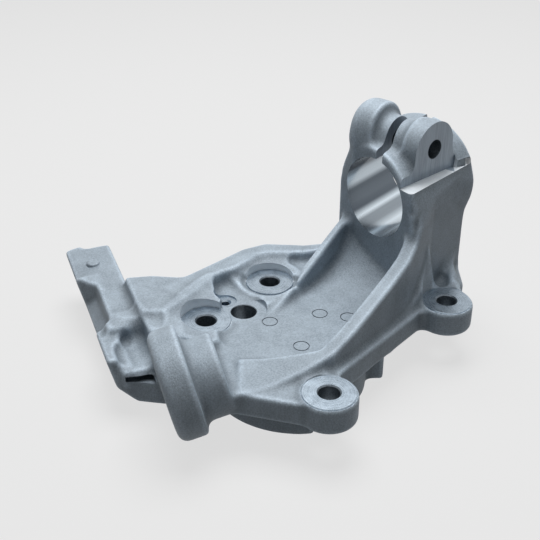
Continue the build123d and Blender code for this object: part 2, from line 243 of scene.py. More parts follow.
@dataclass
class CastField:
    """Signed distance to the casting's surface on a regular grid.

    Args:
        low: Corner of the grid, in millimetres.
        values: Distances, negative inside the metal.
        pitch: Grid spacing.
        band: Farthest distance that is kept, in grid steps.
    """

    low: np.ndarray
    values: np.ndarray
    pitch: float
    band: float

    @classmethod
    def from_node(cls, node: bpy.types.Object, pitch: float, band: float, room: float) -> "CastField":
        """Measures the field of a CAD node, whose loose triangles are merged first.

        Args:
            node: The CAD node.
            pitch: Grid spacing.
            band: Farthest distance that is kept, in grid steps.
            room: Free space around the node.

        Returns:
            The field.
        """
        mesh = node.data
        mesh.calc_loop_triangles()
        corners = np.empty(len(mesh.vertices) * 3, np.float32)
        mesh.vertices.foreach_get("co", corners)
        triangles = np.empty(len(mesh.loop_triangles) * 3, np.int32)
        mesh.loop_triangles.foreach_get("vertices", triangles)
        points, merged = np.unique(np.round(corners.reshape(-1, 3) / MM, 4), axis=0, return_inverse=True)
        triangles = merged.ravel()[triangles].reshape(-1, 3).astype(np.uint32)
        low = np.floor(points.min(0)) - room
        counts = np.ceil((np.ceil(points.max(0)) + room - low) / pitch).astype(int)
        made = cls(low, np.empty(tuple(counts), np.float32), pitch, band)
        made._measure(((points - low) / pitch).astype(np.float32), triangles, None)
        return made

    def _measure(self, points: np.ndarray, triangles: np.ndarray | None, quads: np.ndarray | None) -> None:
        """Fills the grid with distances to a closed surface given in grid steps.

        Args:
            points: Corners of the surface.
            triangles: Corner numbers by threes, where there are any.
            quads: Corner numbers by fours, where there are any.
        """
        grid = openvdb.FloatGrid.createLevelSetFromPolygons(
            points, triangles=triangles, quads=quads, halfWidth=self.band)
        grid.copyToArray(self.values)
        self.values *= self.pitch

    def axes(self) -> tuple[np.ndarray, np.ndarray, np.ndarray]:
        """X, Y and Z of the grid, shaped so that they spread over each other.

        Returns:
            The three arrays.
        """
        steps = [self.low[k] + self.pitch * np.arange(n, dtype=np.float32)
                 for k, n in enumerate(self.values.shape)]
        return steps[0][:, None, None], steps[1][None, :, None], steps[2][None, None, :]

    def window(self, low: Point, high: Point) -> tuple[tuple[slice, ...], tuple[np.ndarray, ...]]:
        """Part of the grid near a box, and its coordinates.

        Args:
            low: Lowest corner of the box.
            high: Highest corner of the box.

        Returns:
            Slices into the grid, and the three coordinate arrays of that part.
        """
        grids = self.axes()
        part = []
        for k in range(3):
            first = int(max((low[k] - self.low[k]) / self.pitch, 0))
            last = int(min((high[k] - self.low[k]) / self.pitch + 2, self.values.shape[k]))
            part.append(slice(first, max(last, first + 1)))
        cut = (grids[0][part[0]], grids[1][:, part[1]], grids[2][:, :, part[2]])
        return tuple(part), cut

    def change(self, box: Box, shape: Shape, blend: float = 0.0, remove: bool = False) -> None:
        """Joins a shape to the metal or carves it out, inside a box.

        Args:
            box: Lowest and highest corner of a box that holds the shape and its fillet.
            shape: Function that gives the shape's distance for X, Y and Z on the grid.
            blend: Width of the fillet.
            remove: Carves instead of joining.
        """
        part, grids = self.window(*box)
        here = self.values[part]
        distance = shape(grids)
        if remove:
            here = -smooth_least(-here, distance, blend)
        else:
            here = smooth_least(here, distance, blend)
        self.values[part] = here.astype(np.float32)

    def surface(self, level: float) -> tuple[np.ndarray, np.ndarray, np.ndarray]:
        """Closed surface at a distance from the metal, in grid steps.

        Args:
            level: Distance in millimetres, positive outside.

        Returns:
            Points, triangles and quads.
        """
        grid = openvdb.FloatGrid(self.band)
        grid.gridClass = openvdb.GridClass.LEVEL_SET
        grid.copyFromArray(np.ascontiguousarray(self.values / self.pitch))
        return grid.convertToPolygons(isovalue=level / self.pitch, adaptivity=0.0)

    def soften(self, passes: int) -> None:
        """Blurs the field with weights 1, 2, 1 along each direction, a few times over.

        Args:
            passes: How many times it blurs.
        """
        for _ in range(passes):
            for k in range(3):
                middle = np.swapaxes(self.values, 0, k)
                middle[1:-1] = middle[1:-1] / 2 + (middle[2:] + middle[:-2]) / 4

    def bend(self, places: np.ndarray) -> np.ndarray:
        """Sum of the surface's two curvatures near each place, positive on outward edges.

        It is the field's Laplacian: the sum of the second differences along the three directions,
        read between grid points in proportion to the nearness of the eight around a place.

        Args:
            places: Points in millimetres, one row each.

        Returns:
            One curvature per millimetre for each place.
        """
        v = self.values
        sums = np.zeros_like(v)
        core = sums[1:-1, 1:-1, 1:-1]
        for k in range(3):
            low = [slice(1, -1)] * 3
            high = [slice(1, -1)] * 3
            low[k], high[k] = slice(0, -2), slice(2, None)
            core += v[tuple(low)] + v[tuple(high)] - 2 * v[1:-1, 1:-1, 1:-1]
        sums /= self.pitch ** 2
        spot = np.clip((places - self.low) / self.pitch, 1.0, np.array(v.shape) - 3.0)
        cell = spot.astype(int)
        part = spot - cell
        total = np.zeros(len(places))
        for corner in np.ndindex(2, 2, 2):
            near = np.prod(np.where(corner, part, 1.0 - part), axis=1)
            i, j, k = (cell + np.array(corner)).T
            total += near * sums[i, j, k]
        return total

    def move(self, level: float) -> None:
        """Moves the metal's surface outwards by a distance and measures the field again."""
        points, triangles, quads = self.surface(level)
        self._measure(points, triangles if len(triangles) else None, quads)

    def roll(self, inner: float, outer: float) -> tuple[np.ndarray, np.ndarray, np.ndarray]:
        """Rounds every corner as a rolling ball does.

        Growing by the inner radius and shrinking again fills the inward corners with that radius.
        Shrinking by the outer radius and growing again rounds the outward corners.

        Args:
            inner: Radius in inward corners.
            outer: Radius on outward corners.

        Returns:
            Points in millimetres, triangles and quads of the rounded surface.
        """
        self.soften(1)
        self.move(inner)
        self.soften(1)
        self.move(-inner)
        self.soften(1)
        self.move(-outer)
        self.soften(1)
        points, triangles, quads = self.surface(outer)
        return points * self.pitch + self.low, triangles, quads


def new_object(name: str, points: np.ndarray, faces: list, smooth: bool = True) -> bpy.types.Object:
    """Makes a mesh object at the origin from points in millimetres.

    Args:
        name: Name of the object and its mesh.
        points: Corners, one row each.
        faces: Lists of corner numbers.
        smooth: Shades the faces smooth.

    Returns:
        The new object, linked to the scene.
    """
    mesh = bpy.data.meshes.new(name)
    mesh.from_pydata((np.asarray(points) * MM).tolist(), [], faces)
    mesh.update()
    mesh.polygons.foreach_set("use_smooth", np.full(len(mesh.polygons), smooth))
    made = bpy.data.objects.new(name, mesh)
    bpy.context.scene.collection.objects.link(made)
    return made


def apply_modifiers(obj: bpy.types.Object) -> None:
    """Turns an object's modifiers into its mesh.

    Args:
        obj: The object.
    """
    evaluated = obj.evaluated_get(bpy.context.evaluated_depsgraph_get())
    mesh = bpy.data.meshes.new_from_object(evaluated)
    old = obj.data
    obj.modifiers.clear()
    obj.data = mesh
    bpy.data.meshes.remove(old)


# Tools that machine the casting


@dataclass(frozen=True)
class TurnedTool:
    """Round tool whose profile is spun about an axis.

    Args:
        name: Name of the tool.
        origin: Point on the axis.
        axis: Direction of the axis.
        profile: Pairs of distance along the axis and radius, from one end to the other.
        cut: Whether the tool removes or adds metal.
        steps: Number of facets round the axis.
        hollow: Joins the profile's end to its start, as on a ring.
    """

    name: str
    origin: Point
    axis: Point
    profile: Plan
    cut: Cut = Cut.REMOVE
    steps: int = 96
    hollow: bool = False

    def mesh(self) -> bpy.types.Object:
        """Spins the profile.

        Each point is the origin, plus its distance along the axis, plus its radius times the cosine
        and sine of the angle along two directions square to the axis. Fans close the ends.

        Returns:
            The closed tool.
        """
        d = np.array(self.axis) / np.linalg.norm(self.axis)
        side = np.cross(d, (0.0, 0.0, 1.0) if abs(d[2]) < 0.9 else (1.0, 0.0, 0.0))
        side /= np.linalg.norm(side)
        other = np.cross(d, side)
        turn = 2 * np.pi * np.arange(self.steps) / self.steps
        ring = np.cos(turn)[:, None] * side + np.sin(turn)[:, None] * other
        along = np.array([p[0] for p in self.profile])
        radius = np.array([p[1] for p in self.profile])
        points = np.array(self.origin) + along[:, None, None] * d + radius[:, None, None] * ring[None]
        points = points.reshape(-1, 3)
        n, rows = self.steps, len(self.profile)
        first = np.arange(n)
        after = (first + 1) % n
        rings = np.arange(rows - 1)[:, None] * n
        quads = np.stack([rings + first, rings + after, rings + n + after, rings + n + first], -1)
        quads = quads.reshape(-1, 4)
        if self.hollow:
            last = (rows - 1) * n
            seam = np.stack([last + first, last + after, after, first], -1)
            made = new_object(self.name, points, quads.tolist() + seam.tolist(), smooth=False)
            make_outward(made)
            return made
        middles = np.array(self.origin) + along[[0, -1], None] * d
        points = np.vstack([points, middles])
        last = (rows - 1) * n
        caps = [np.column_stack([after, first, np.full(n, rows * n)]),
                np.column_stack([last + first, last + after, np.full(n, rows * n + 1)])]
        made = new_object(self.name, points, quads.tolist() + np.vstack(caps).tolist(), smooth=False)
        make_outward(made)
        return made


@dataclass(frozen=True)
class BlockTool:
    """Milling cut with the shape of an upright box.

    Args:
        name: Name of the tool.
        low: Lowest corner.
        high: Highest corner.
        slant: How far Y falls for each millimetre of X.
        turn: Degrees that the box is turned about Z.
        cell: Longest side of a facet, small enough that no facet holds a whole hole.
        cut: Whether the tool removes or adds metal.
    """

    name: str
    low: Point
    high: Point
    slant: float = 0.0
    turn: float = 0.0
    cell: float = 9.0
    cut: Cut = Cut.REMOVE

    def mesh(self) -> bpy.types.Object:
        """Covers the six sides with grids.

        On each side two coordinates run evenly from the low to the high corner and the third is
        held. Corners that the sides share are merged.

        Returns:
            The closed tool.
        """
        low, high = np.array(self.low), np.array(self.high)
        points, quads, count = [], [], 0
        for held in range(3):
            first, second = [k for k in range(3) if k != held]
            steps = [np.linspace(low[k], high[k], int(np.ceil((high[k] - low[k]) / self.cell)) + 1)
                     for k in (first, second)]
            a, b = np.meshgrid(*steps, indexing="ij")
            rows, columns = a.shape
            number = np.arange(rows * columns).reshape(rows, columns)
            cells = np.stack([number[:-1, :-1], number[1:, :-1], number[1:, 1:], number[:-1, 1:]], -1)
            cells = cells.reshape(-1, 4)
            for level in (low[held], high[held]):
                side = np.empty((rows * columns, 3))
                side[:, first], side[:, second], side[:, held] = a.ravel(), b.ravel(), level
                points.append(side)
                quads.append(cells + count)
                count += rows * columns
        merged, number = np.unique(np.round(np.vstack(points), 4), axis=0, return_inverse=True)
        merged[:, 1] -= self.slant * (merged[:, 0] - low[0])
        c, s = math.cos(math.radians(self.turn)), math.sin(math.radians(self.turn))
        merged[:, :2] = merged[:, :2] @ np.array([[c, s], [-s, c]])
        made = new_object(self.name, merged, number.ravel()[np.vstack(quads)].tolist(), smooth=False)
        make_outward(made)
        return made


def make_outward(obj: bpy.types.Object) -> None:
    """Turns a closed mesh's faces outwards.

    Args:
        obj: The object.
    """
    shell = bmesh.new()
    shell.from_mesh(obj.data)
    bmesh.ops.recalc_face_normals(shell, faces=shell.faces)
    shell.to_mesh(obj.data)
    shell.free()


Jobs = list[tuple[TurnedTool | BlockTool, str]]


# Finishes


@dataclass(frozen=True)
class Wiring:
    """Adds nodes to a material or world and joins them up.

    Args:
        tree: The node tree.
    """

    tree: bpy.types.NodeTree

    def add(self, kind: str, **inputs: Socket | float | tuple) -> bpy.types.Node:
        """Adds a node and fills its inputs, each from a socket or with a constant.

        Args:
            kind: Type of the node.
            inputs: Sockets or constants by input name, with _ for a space.

        Returns:
            The node.
        """
        made = self.tree.nodes.new(kind)
        for name, value in inputs.items():
            self.feed(value, made.inputs[name.replace("_", " ")])
        return made

    def feed(self, value: Socket | float | tuple, target: Socket) -> None:
        """Joins a socket to an input, or sets the input to a constant.

        Args:
            value: Socket or constant.
            target: The input.
        """
        if isinstance(value, Socket):
            self.tree.links.new(value, target)
        else:
            target.default_value = value

    def calculate(self, operation: str, *values: Socket | float) -> Socket:
        """Result of a Math node on sockets and constants.

        Args:
            operation: Name of the operation.
            values: Sockets and constants to work on.

        Returns:
            Socket of the result.
        """
        made = self.add("ShaderNodeMath")
        made.operation = operation
        for value, target in zip(values, made.inputs):
            self.feed(value, target)
        return made.outputs[0]

    def spread(self, value: Socket, source: Place,
               target: Place = (0.0, 1.0)) -> Socket:
        """Value carried evenly from a source range to a target range, and held at its ends.

        Args:
            value: The value.
            source: Lowest and highest value.
            target: What these two become.

        Returns:
            Socket of the result.
        """
        made = self.add("ShaderNodeMapRange", Value=value, From_Min=source[0], From_Max=source[1],
                        To_Min=target[0], To_Max=target[1])
        return made.outputs["Result"]

    def noise(self, place: Socket, size: float, detail: float, rough: float) -> Socket:
        """Noise whose lumps have a size in millimetres.

        Args:
            place: Coordinates to read it at.
            size: Size of the lumps.
            detail: How many finer noises it holds.
            rough: Strength of the finer noises.

        Returns:
            Socket of the result.
        """
        made = self.add("ShaderNodeTexNoise", Vector=place, Scale=1.0 / (size * MM), Detail=detail,
                        Roughness=rough)
        return made.outputs["Fac"]


@dataclass(frozen=True)
class MetalFinish:
    """Aluminium finish made of nodes on Object coordinates.

    Args:
        name: Name of the material.
        dark: Colour of the darker patches.
        light: Colour of the lighter patches.
        patch: Size of the patches, in millimetres.
        grain: Size of the surface grain, in millimetres.
        grain_height: Height of the grain, in millimetres.
        rough: Lowest and highest roughness.
        metallic: Share of bare metal.
        streak: Direction that tool marks run along, where there are any; in the bores these wide streaks are
            partly painted reflections.
        rings: Centres of turned rings in plan, in millimetres.
        bend_shading: Strength of the painted highlight on outward edges and the painted shade in inward
            corners.
        shine: Specular level of the skin between the bare metal.
        grain_share: Share of the fine grain in the colour, the rest is patches.
        detail: How many finer noises the patches hold.
        centre: Y and Z of the axis that the painted reflection bands run along.
        painted_reflection_bands: Pairs of degrees round the axis from +Y to +Z and the painted reflection's
            lightness there, where there are any.
    """

    EDGE = "edge"
    COLOUR_RANGE = (0.38, 0.62)
    ROUGH_RANGE = (0.35, 0.65)
    BEND_RANGE = (0.25, 0.85)
    # Painted shade and painted highlight from the bend: how much darker inward corners and lighter outward
    # edges get at full strength.
    BEND_SHADING_RANGE = (0.45, 0.6)
    PATCH_ROUGHNESS = 0.62
    GRAIN_ROUGHNESS = 0.7
    GRAIN_DETAIL = 3.0
    STREAK_STRETCH = 0.96
    # Share of the patches in the painted reflection bands.
    REFLECTION_PATCH_SHARE = 0.08

    name: str
    dark: Point
    light: Point
    patch: float
    grain: float
    grain_height: float
    rough: Place
    metallic: float
    streak: Axis | None = None
    rings: Plan = ()
    bend_shading: float = 0.0
    shine: float = 0.5
    grain_share: float = 0.6
    detail: float = 5.0
    centre: Place = (0.0, 0.0)
    painted_reflection_bands: Plan = ()

    def material(self) -> bpy.types.Material:
        """Builds the material.

        Two noises drive the colour: a wide one mixes the dark and light patches and a fine one adds
        the grain. The fine noise also drives the bump. Tool marks stretch the noise along one
        direction, and in the bores these streaks are partly painted reflections. Turned rings use the
        distance from the nearest centre.

        Returns:
            The material.
        """
        made = bpy.data.materials.new(self.name)
        made.use_nodes = True
        wiring = Wiring(made.node_tree)
        shader = made.node_tree.nodes["Principled BSDF"]
        place = wiring.add("ShaderNodeTexCoord").outputs["Object"]
        shader.inputs["Metallic"].default_value = self.metallic
        shader.inputs["Specular IOR Level"].default_value = self.shine

        grain_place = self._grain_place(wiring, place)
        patches = wiring.noise(place if self.streak is None else grain_place, self.patch, self.detail,
                               self.PATCH_ROUGHNESS)
        grain = wiring.noise(grain_place, self.grain, self.GRAIN_DETAIL, self.GRAIN_ROUGHNESS)
        share = wiring.calculate("MULTIPLY", patches, 1.0 - self.grain_share)
        blend = wiring.calculate("MULTIPLY_ADD", grain, self.grain_share, share)

        lightness = self._painted_reflection_lightness(wiring, place, wiring.spread(blend, self.COLOUR_RANGE))
        colour = wiring.add("ShaderNodeMix")
        colour.data_type = "RGBA"
        wiring.feed(lightness, colour.inputs[0])
        colour.inputs[6].default_value = (*self.dark, 1.0)
        colour.inputs[7].default_value = (*self.light, 1.0)
        # Base colour with a painted highlight on outward edges and painted shade in inward corners, where the
        # finish asks for it.
        wiring.feed(self._painted_bend_shading(wiring, colour.outputs[2]), shader.inputs["Base Color"])
        wiring.feed(wiring.spread(blend, self.ROUGH_RANGE, self.rough), shader.inputs["Roughness"])

        bump = wiring.add("ShaderNodeBump", Strength=1.0, Distance=self.grain_height * MM, Height=grain)
        wiring.feed(bump.outputs["Normal"], shader.inputs["Normal"])
        return made

    def _painted_reflection_lightness(self, wiring: Wiring, place: Socket, patches: Socket) -> Socket:
        """Painted reflections in bands along a bore: a ramp over the angle round its axis, with some of the
        patches.

        Args:
            wiring: Wiring of the material.
            place: Object coordinates.
            patches: Lightness of the patches.

        Returns:
            The lightness, that of the patches alone where there are no painted reflection bands.
        """
        if not self.painted_reflection_bands:
            return patches
        split = wiring.add("ShaderNodeSeparateXYZ", Vector=place)
        middle_y, middle_z = self.centre
        away_y = wiring.calculate("SUBTRACT", split.outputs["Y"], middle_y * MM)
        away_z = wiring.calculate("SUBTRACT", split.outputs["Z"], middle_z * MM)
        angle = wiring.calculate("ARCTAN2", away_z, away_y)
        ramp = wiring.add("ShaderNodeValToRGB", Fac=wiring.spread(angle, (-math.pi, math.pi)))
        stops = ramp.color_ramp.elements
        while len(stops) < len(self.painted_reflection_bands):
            stops.new(0.5)
        for stop, (degrees, level) in zip(stops, self.painted_reflection_bands):
            stop.position = degrees / 360.0 + 0.5
            stop.color = (level, level, level, 1.0)
        mixed = wiring.add("ShaderNodeMix")
        for value, target in zip((self.REFLECTION_PATCH_SHARE, ramp.outputs["Color"], patches),
                                 (mixed.inputs[0], mixed.inputs[2], mixed.inputs[3])):
            wiring.feed(value, target)
        return mixed.outputs[0]

    def _painted_bend_shading(self, wiring: Wiring, colour: Socket) -> Socket:
        """Colour scaled by the surface's bend: a painted highlight on outward edges and painted shade in
        inward corners.

        Args:
            wiring: Wiring of the material.
            colour: The colour so far.

        Returns:
            The colour with the painted edge highlights and corner shade.
        """
        if not self.bend_shading:
            return colour
        bend = wiring.add("ShaderNodeAttribute")
        bend.attribute_name = self.EDGE
        darker, lighter = self.BEND_SHADING_RANGE
        scale = wiring.spread(bend.outputs["Fac"], self.BEND_RANGE,
                              (1.0 - darker * self.bend_shading, 1.0 + lighter * self.bend_shading))
        bend_shading = wiring.add("ShaderNodeVectorMath")
        bend_shading.operation = "SCALE"
        wiring.feed(colour, bend_shading.inputs[0])
        wiring.feed(scale, bend_shading.inputs["Scale"])
        return bend_shading.outputs[0]

    def _grain_place(self, wiring: Wiring, place: Socket) -> Socket:
        """Coordinates of the grain: plain, stretched along the tool marks, or rings.

        Args:
            wiring: Wiring of the material.
            place: Object coordinates.

        Returns:
            The socket to read the grain at.
        """
        if self.rings:
            least = None
            for cx, cy in self.rings:
                flat = wiring.add("ShaderNodeVectorMath")
                flat.operation = "MULTIPLY"
                wiring.feed(place, flat.inputs[0])
                flat.inputs[1].default_value = (1.0, 1.0, 0.0)
                away = wiring.add("ShaderNodeVectorMath")
                away.operation = "DISTANCE"
                wiring.feed(flat.outputs[0], away.inputs[0])
                away.inputs[1].default_value = (cx * MM, cy * MM, 0.0)
                near = away.outputs["Value"]
                least = near if least is None else wiring.calculate("MINIMUM", least, near)
            return wiring.add("ShaderNodeCombineXYZ", X=least).outputs[0]
        if self.streak is not None:
            squeeze = tuple(1.0 - self.STREAK_STRETCH * part for part in self.streak.value)
            return wiring.add("ShaderNodeMapping", Vector=place, Scale=squeeze).outputs[0]
        return place


# The casting and its machined features


@dataclass
class HubInterface:
    """Bolt holes, spot faces, sensor hole and bearing recess at the hub."""

    pcd_r: float = 58.7
    angles: Place = (57.2, 122.8)
    spot_z: float = 40.0
    spot_r: float = 16.25
    bolt_r: float = 6.5
    recess_r: float = 36.0
    recess_z: float = 26.0
    sensor: Place = (-6.2, 39.7)
    sensor_r: float = 8.35
    sensor_z: float = 38.0
    sensor_flat: Plan = ((0.0, 14.6), (0.3, 15.1), (1.0, 15.5), (14.0, 16.2))
    screw: Place = (-4.5, 57.5)
    screw_r: float = 2.75
    screw_z: float = 37.0
    screw_depth: float = 11.0
    screw_seat: Plan = ((-1.2, 2.75), (0.0, 3.9), (0.05, 7.6), (20.0, 8.0))
    blind_r: float = 5.1
    blind_depth: float = 24.0
    blind_pcd_r: float = 47.0
    blind_angles: Place = (-40.0, -140.0)

    reach: Box = ((-80.0, 15.0, 28.0), (80.0, 95.0, 60.0))
    foot_z: float = 30.0
    open_z: float = 80.0
    back_heading: float = 40.0
    collars: Plan = ((41.6, 0.15), (41.4, 0.13))
    collar_width: float = 3.0
    collar_start: float = 7.0
    front_width: float = 5.0
    front_end: float = 4.0
    front_z: float = 38.8
    side_heading: float = 140.0
    side_collar: Place = (25.5, 42.2)
    side_start: float = -4.0
    side_foot_z: float = 28.0
    rim: Plan = ((-30.0, 69.2), (-15.0, 70.4), (-2.0, 72.6), (8.7, 72.3), (18.0, 69.8), (30.5, 69.7),
                 (41.3, 69.9), (51.8, 64.0), (64.7, 50.9), (68.0, 56.0), (57.0, 74.0), (41.0, 80.0),
                 (10.0, 83.5), (-12.0, 85.5), (-30.0, 86.0))
    rim_z: float = 48.9
    bank: Plan = ((-56.0, 56.0), (-46.0, 66.5), (-30.0, 70.0), (-12.0, 73.0), (-1.3, 73.5), (-12.7, 55.8),
                  (-16.0, 50.0), (-31.8, 47.0))
    bank_rise: Point = (52.0, 42.0, 0.36)
    flat_z: float = 37.9
    pocket: Plan = ((-13.2, 54.0), (-2.5, 71.0), (8.5, 70.5), (13.5, 66.0), (11.5, 56.0), (6.0, 48.0),
                    (-10.0, 46.0))
    pocket_z: float = 38.6
    pocket_edge: float = 7.0
    marks: Plan = ((-4.2, 19.0), (24.0, 0.1), (-12.7, -13.6), (32.5, -16.5))
    mark_r: float = 4.9
    mark_line: float = 0.35

    def shape(self, metal: CastField) -> None:
        """Widens the rim wall, raises the metal round the spot faces and hollows out the screw's pocket.

        Args:
            metal: Field of the casting, changed in place.
        """
        metal.change(self.reach, lambda xyz: slab_distance(
            xyz, self.rim, self.foot_z, self.rim_z, 1.0), blend=3.0)
        metal.change(self.reach, self.banked, blend=3.0)
        for number in range(len(self.collars)):
            metal.change(self.reach, lambda xyz: self.collar(number, xyz), blend=5.0)
        metal.change(self.reach, self.beside, blend=4.0)
        metal.change(self.reach, self.before, blend=2.0, remove=True)
        metal.change(self.reach, lambda xyz: slab_distance(
            xyz, self.pocket, self.pocket_z, self.open_z, self.pocket_edge), remove=True)

    def near(self, number: int, heading: float, xyz: Grids) -> Grids:
        """Distance from a through bolt's axis, how far that is towards a heading, and the height.

        Args:
            number: Which of the through bolts.
            heading: Direction in plan, in degrees from +X.
            xyz: X, Y and Z on the grid.

        Returns:
            The two distances and the height, on the grid.
        """
        x, y, z = xyz
        cx, cy = self.bolts()[number]
        turn = math.radians(heading)
        return np.hypot(x - cx, y - cy), (x - cx) * math.cos(turn) + (y - cy) * math.sin(turn), z

    def banked(self, xyz: Grids) -> Grid:
        """Distance to the bank behind the lower spot face, whose top rises evenly with Y.

        Args:
            xyz: X, Y and Z on the grid.

        Returns:
            Signed distances on the grid.
        """
        x, y, z = xyz
        start, level, rise = self.bank_rise
        top = z - level - rise * (y - start)
        return np.maximum(np.maximum(plan_distance(x, y, self.bank), top), self.foot_z - z)

    def collar(self, number: int, xyz: Grids) -> Grid:
        """Distance to the cast metal round a spot face, whose top rises away from the caliper side.

        Args:
            number: Which of the through bolts.
            xyz: X, Y and Z on the grid.

        Returns:
            Signed distances on the grid.
        """
        level, slope = self.collars[number]
        away, back, z = self.near(number, self.back_heading, xyz)
        disc = np.maximum(away - self.spot_r - self.collar_width, self.collar_start - back)
        return np.maximum(np.maximum(disc, z - level - slope * back), self.foot_z - z)

    def before(self, xyz: Grids) -> Grid:
        """Distance to the shallow cut that leaves the upper spot face proud on the caliper's side.

        Args:
            xyz: X, Y and Z on the grid.

        Returns:
            Signed distances on the grid.
        """
        away, back, z = self.near(0, self.back_heading, xyz)
        disc = np.maximum(away - self.spot_r - self.front_width, back - self.front_end)
        return np.maximum(disc, self.front_z - z)

    def beside(self, xyz: Grids) -> Grid:
        """Distance to the wide flat ring on the barrel's side of the lower spot face.

        Args:
            xyz: X, Y and Z on the grid.

        Returns:
            Signed distances on the grid.
        """
        radius, level = self.side_collar
        away, side, z = self.near(1, self.side_heading, xyz)
        disc = np.maximum(away - radius, self.side_start - side)
        return np.maximum(disc, np.maximum(z - level, self.side_foot_z - z))

    def bolts(self) -> list[Place]:
        """Plan places of the two through bolts."""
        return [polar(self.pcd_r, a) for a in self.angles]

    def blind(self) -> list[Place]:
        """Plan places of the two tapped holes."""
        return [polar(self.blind_pcd_r, a) for a in self.blind_angles]

    def tools(self) -> Jobs:
        """Cuts of the sensor's and screw's seats, the tapped holes and the ejector marks.

        Returns:
            Pairs of tool and finish name.
        """
        up = Axis.Z.value
        jobs = [(TurnedTool(f"tapped_{number}", (*place, 0), up, bored(self.blind_r, self.blind_depth, 0.8),
                            steps=48), "hole_shade") for number, place in enumerate(self.blind())]
        hole = ((-60.0, self.sensor_r), (-0.5, self.sensor_r), (1.0, self.sensor_r + 1.5))
        jobs.append((TurnedTool("sensor_hole", (*self.sensor, self.sensor_z), up, hole, steps=64), "hole_shade"))
        seat = ((-self.screw_depth, self.screw_r), *self.screw_seat)
        jobs.append((TurnedTool("screw_seat", (*self.screw, self.screw_z), up, seat, steps=64), "turned"))
        inner, outer = self.mark_r - self.mark_line, self.mark_r + self.mark_line
        groove = ((-0.5, inner), (2.0, inner), (2.0, outer), (-0.5, outer))
        # The mark grooves take the dark hole finish, so they show as painted shade lines.
        for number, place in enumerate(self.marks):
            jobs.append((TurnedTool(f"ejector_mark_{number}", (*place, self.flat_z), up, groove, steps=64,
                                    hollow=True), "hole_shade"))
        return jobs


def polar(radius: float, angle: float) -> Place:
    """Plan place at a radius and an angle in degrees."""
    return radius * math.cos(math.radians(angle)), radius * math.sin(math.radians(angle))


@dataclass
class Lugs:
    """Two caliper lugs with spot faces."""

    places: Plan = ((-40.8, -56.2), (88.6, -56.2))
    bottom: float = 22.0
    spot_z: float = 40.0
    spot_r: float = 16.25
    bolt_r: float = 6.5


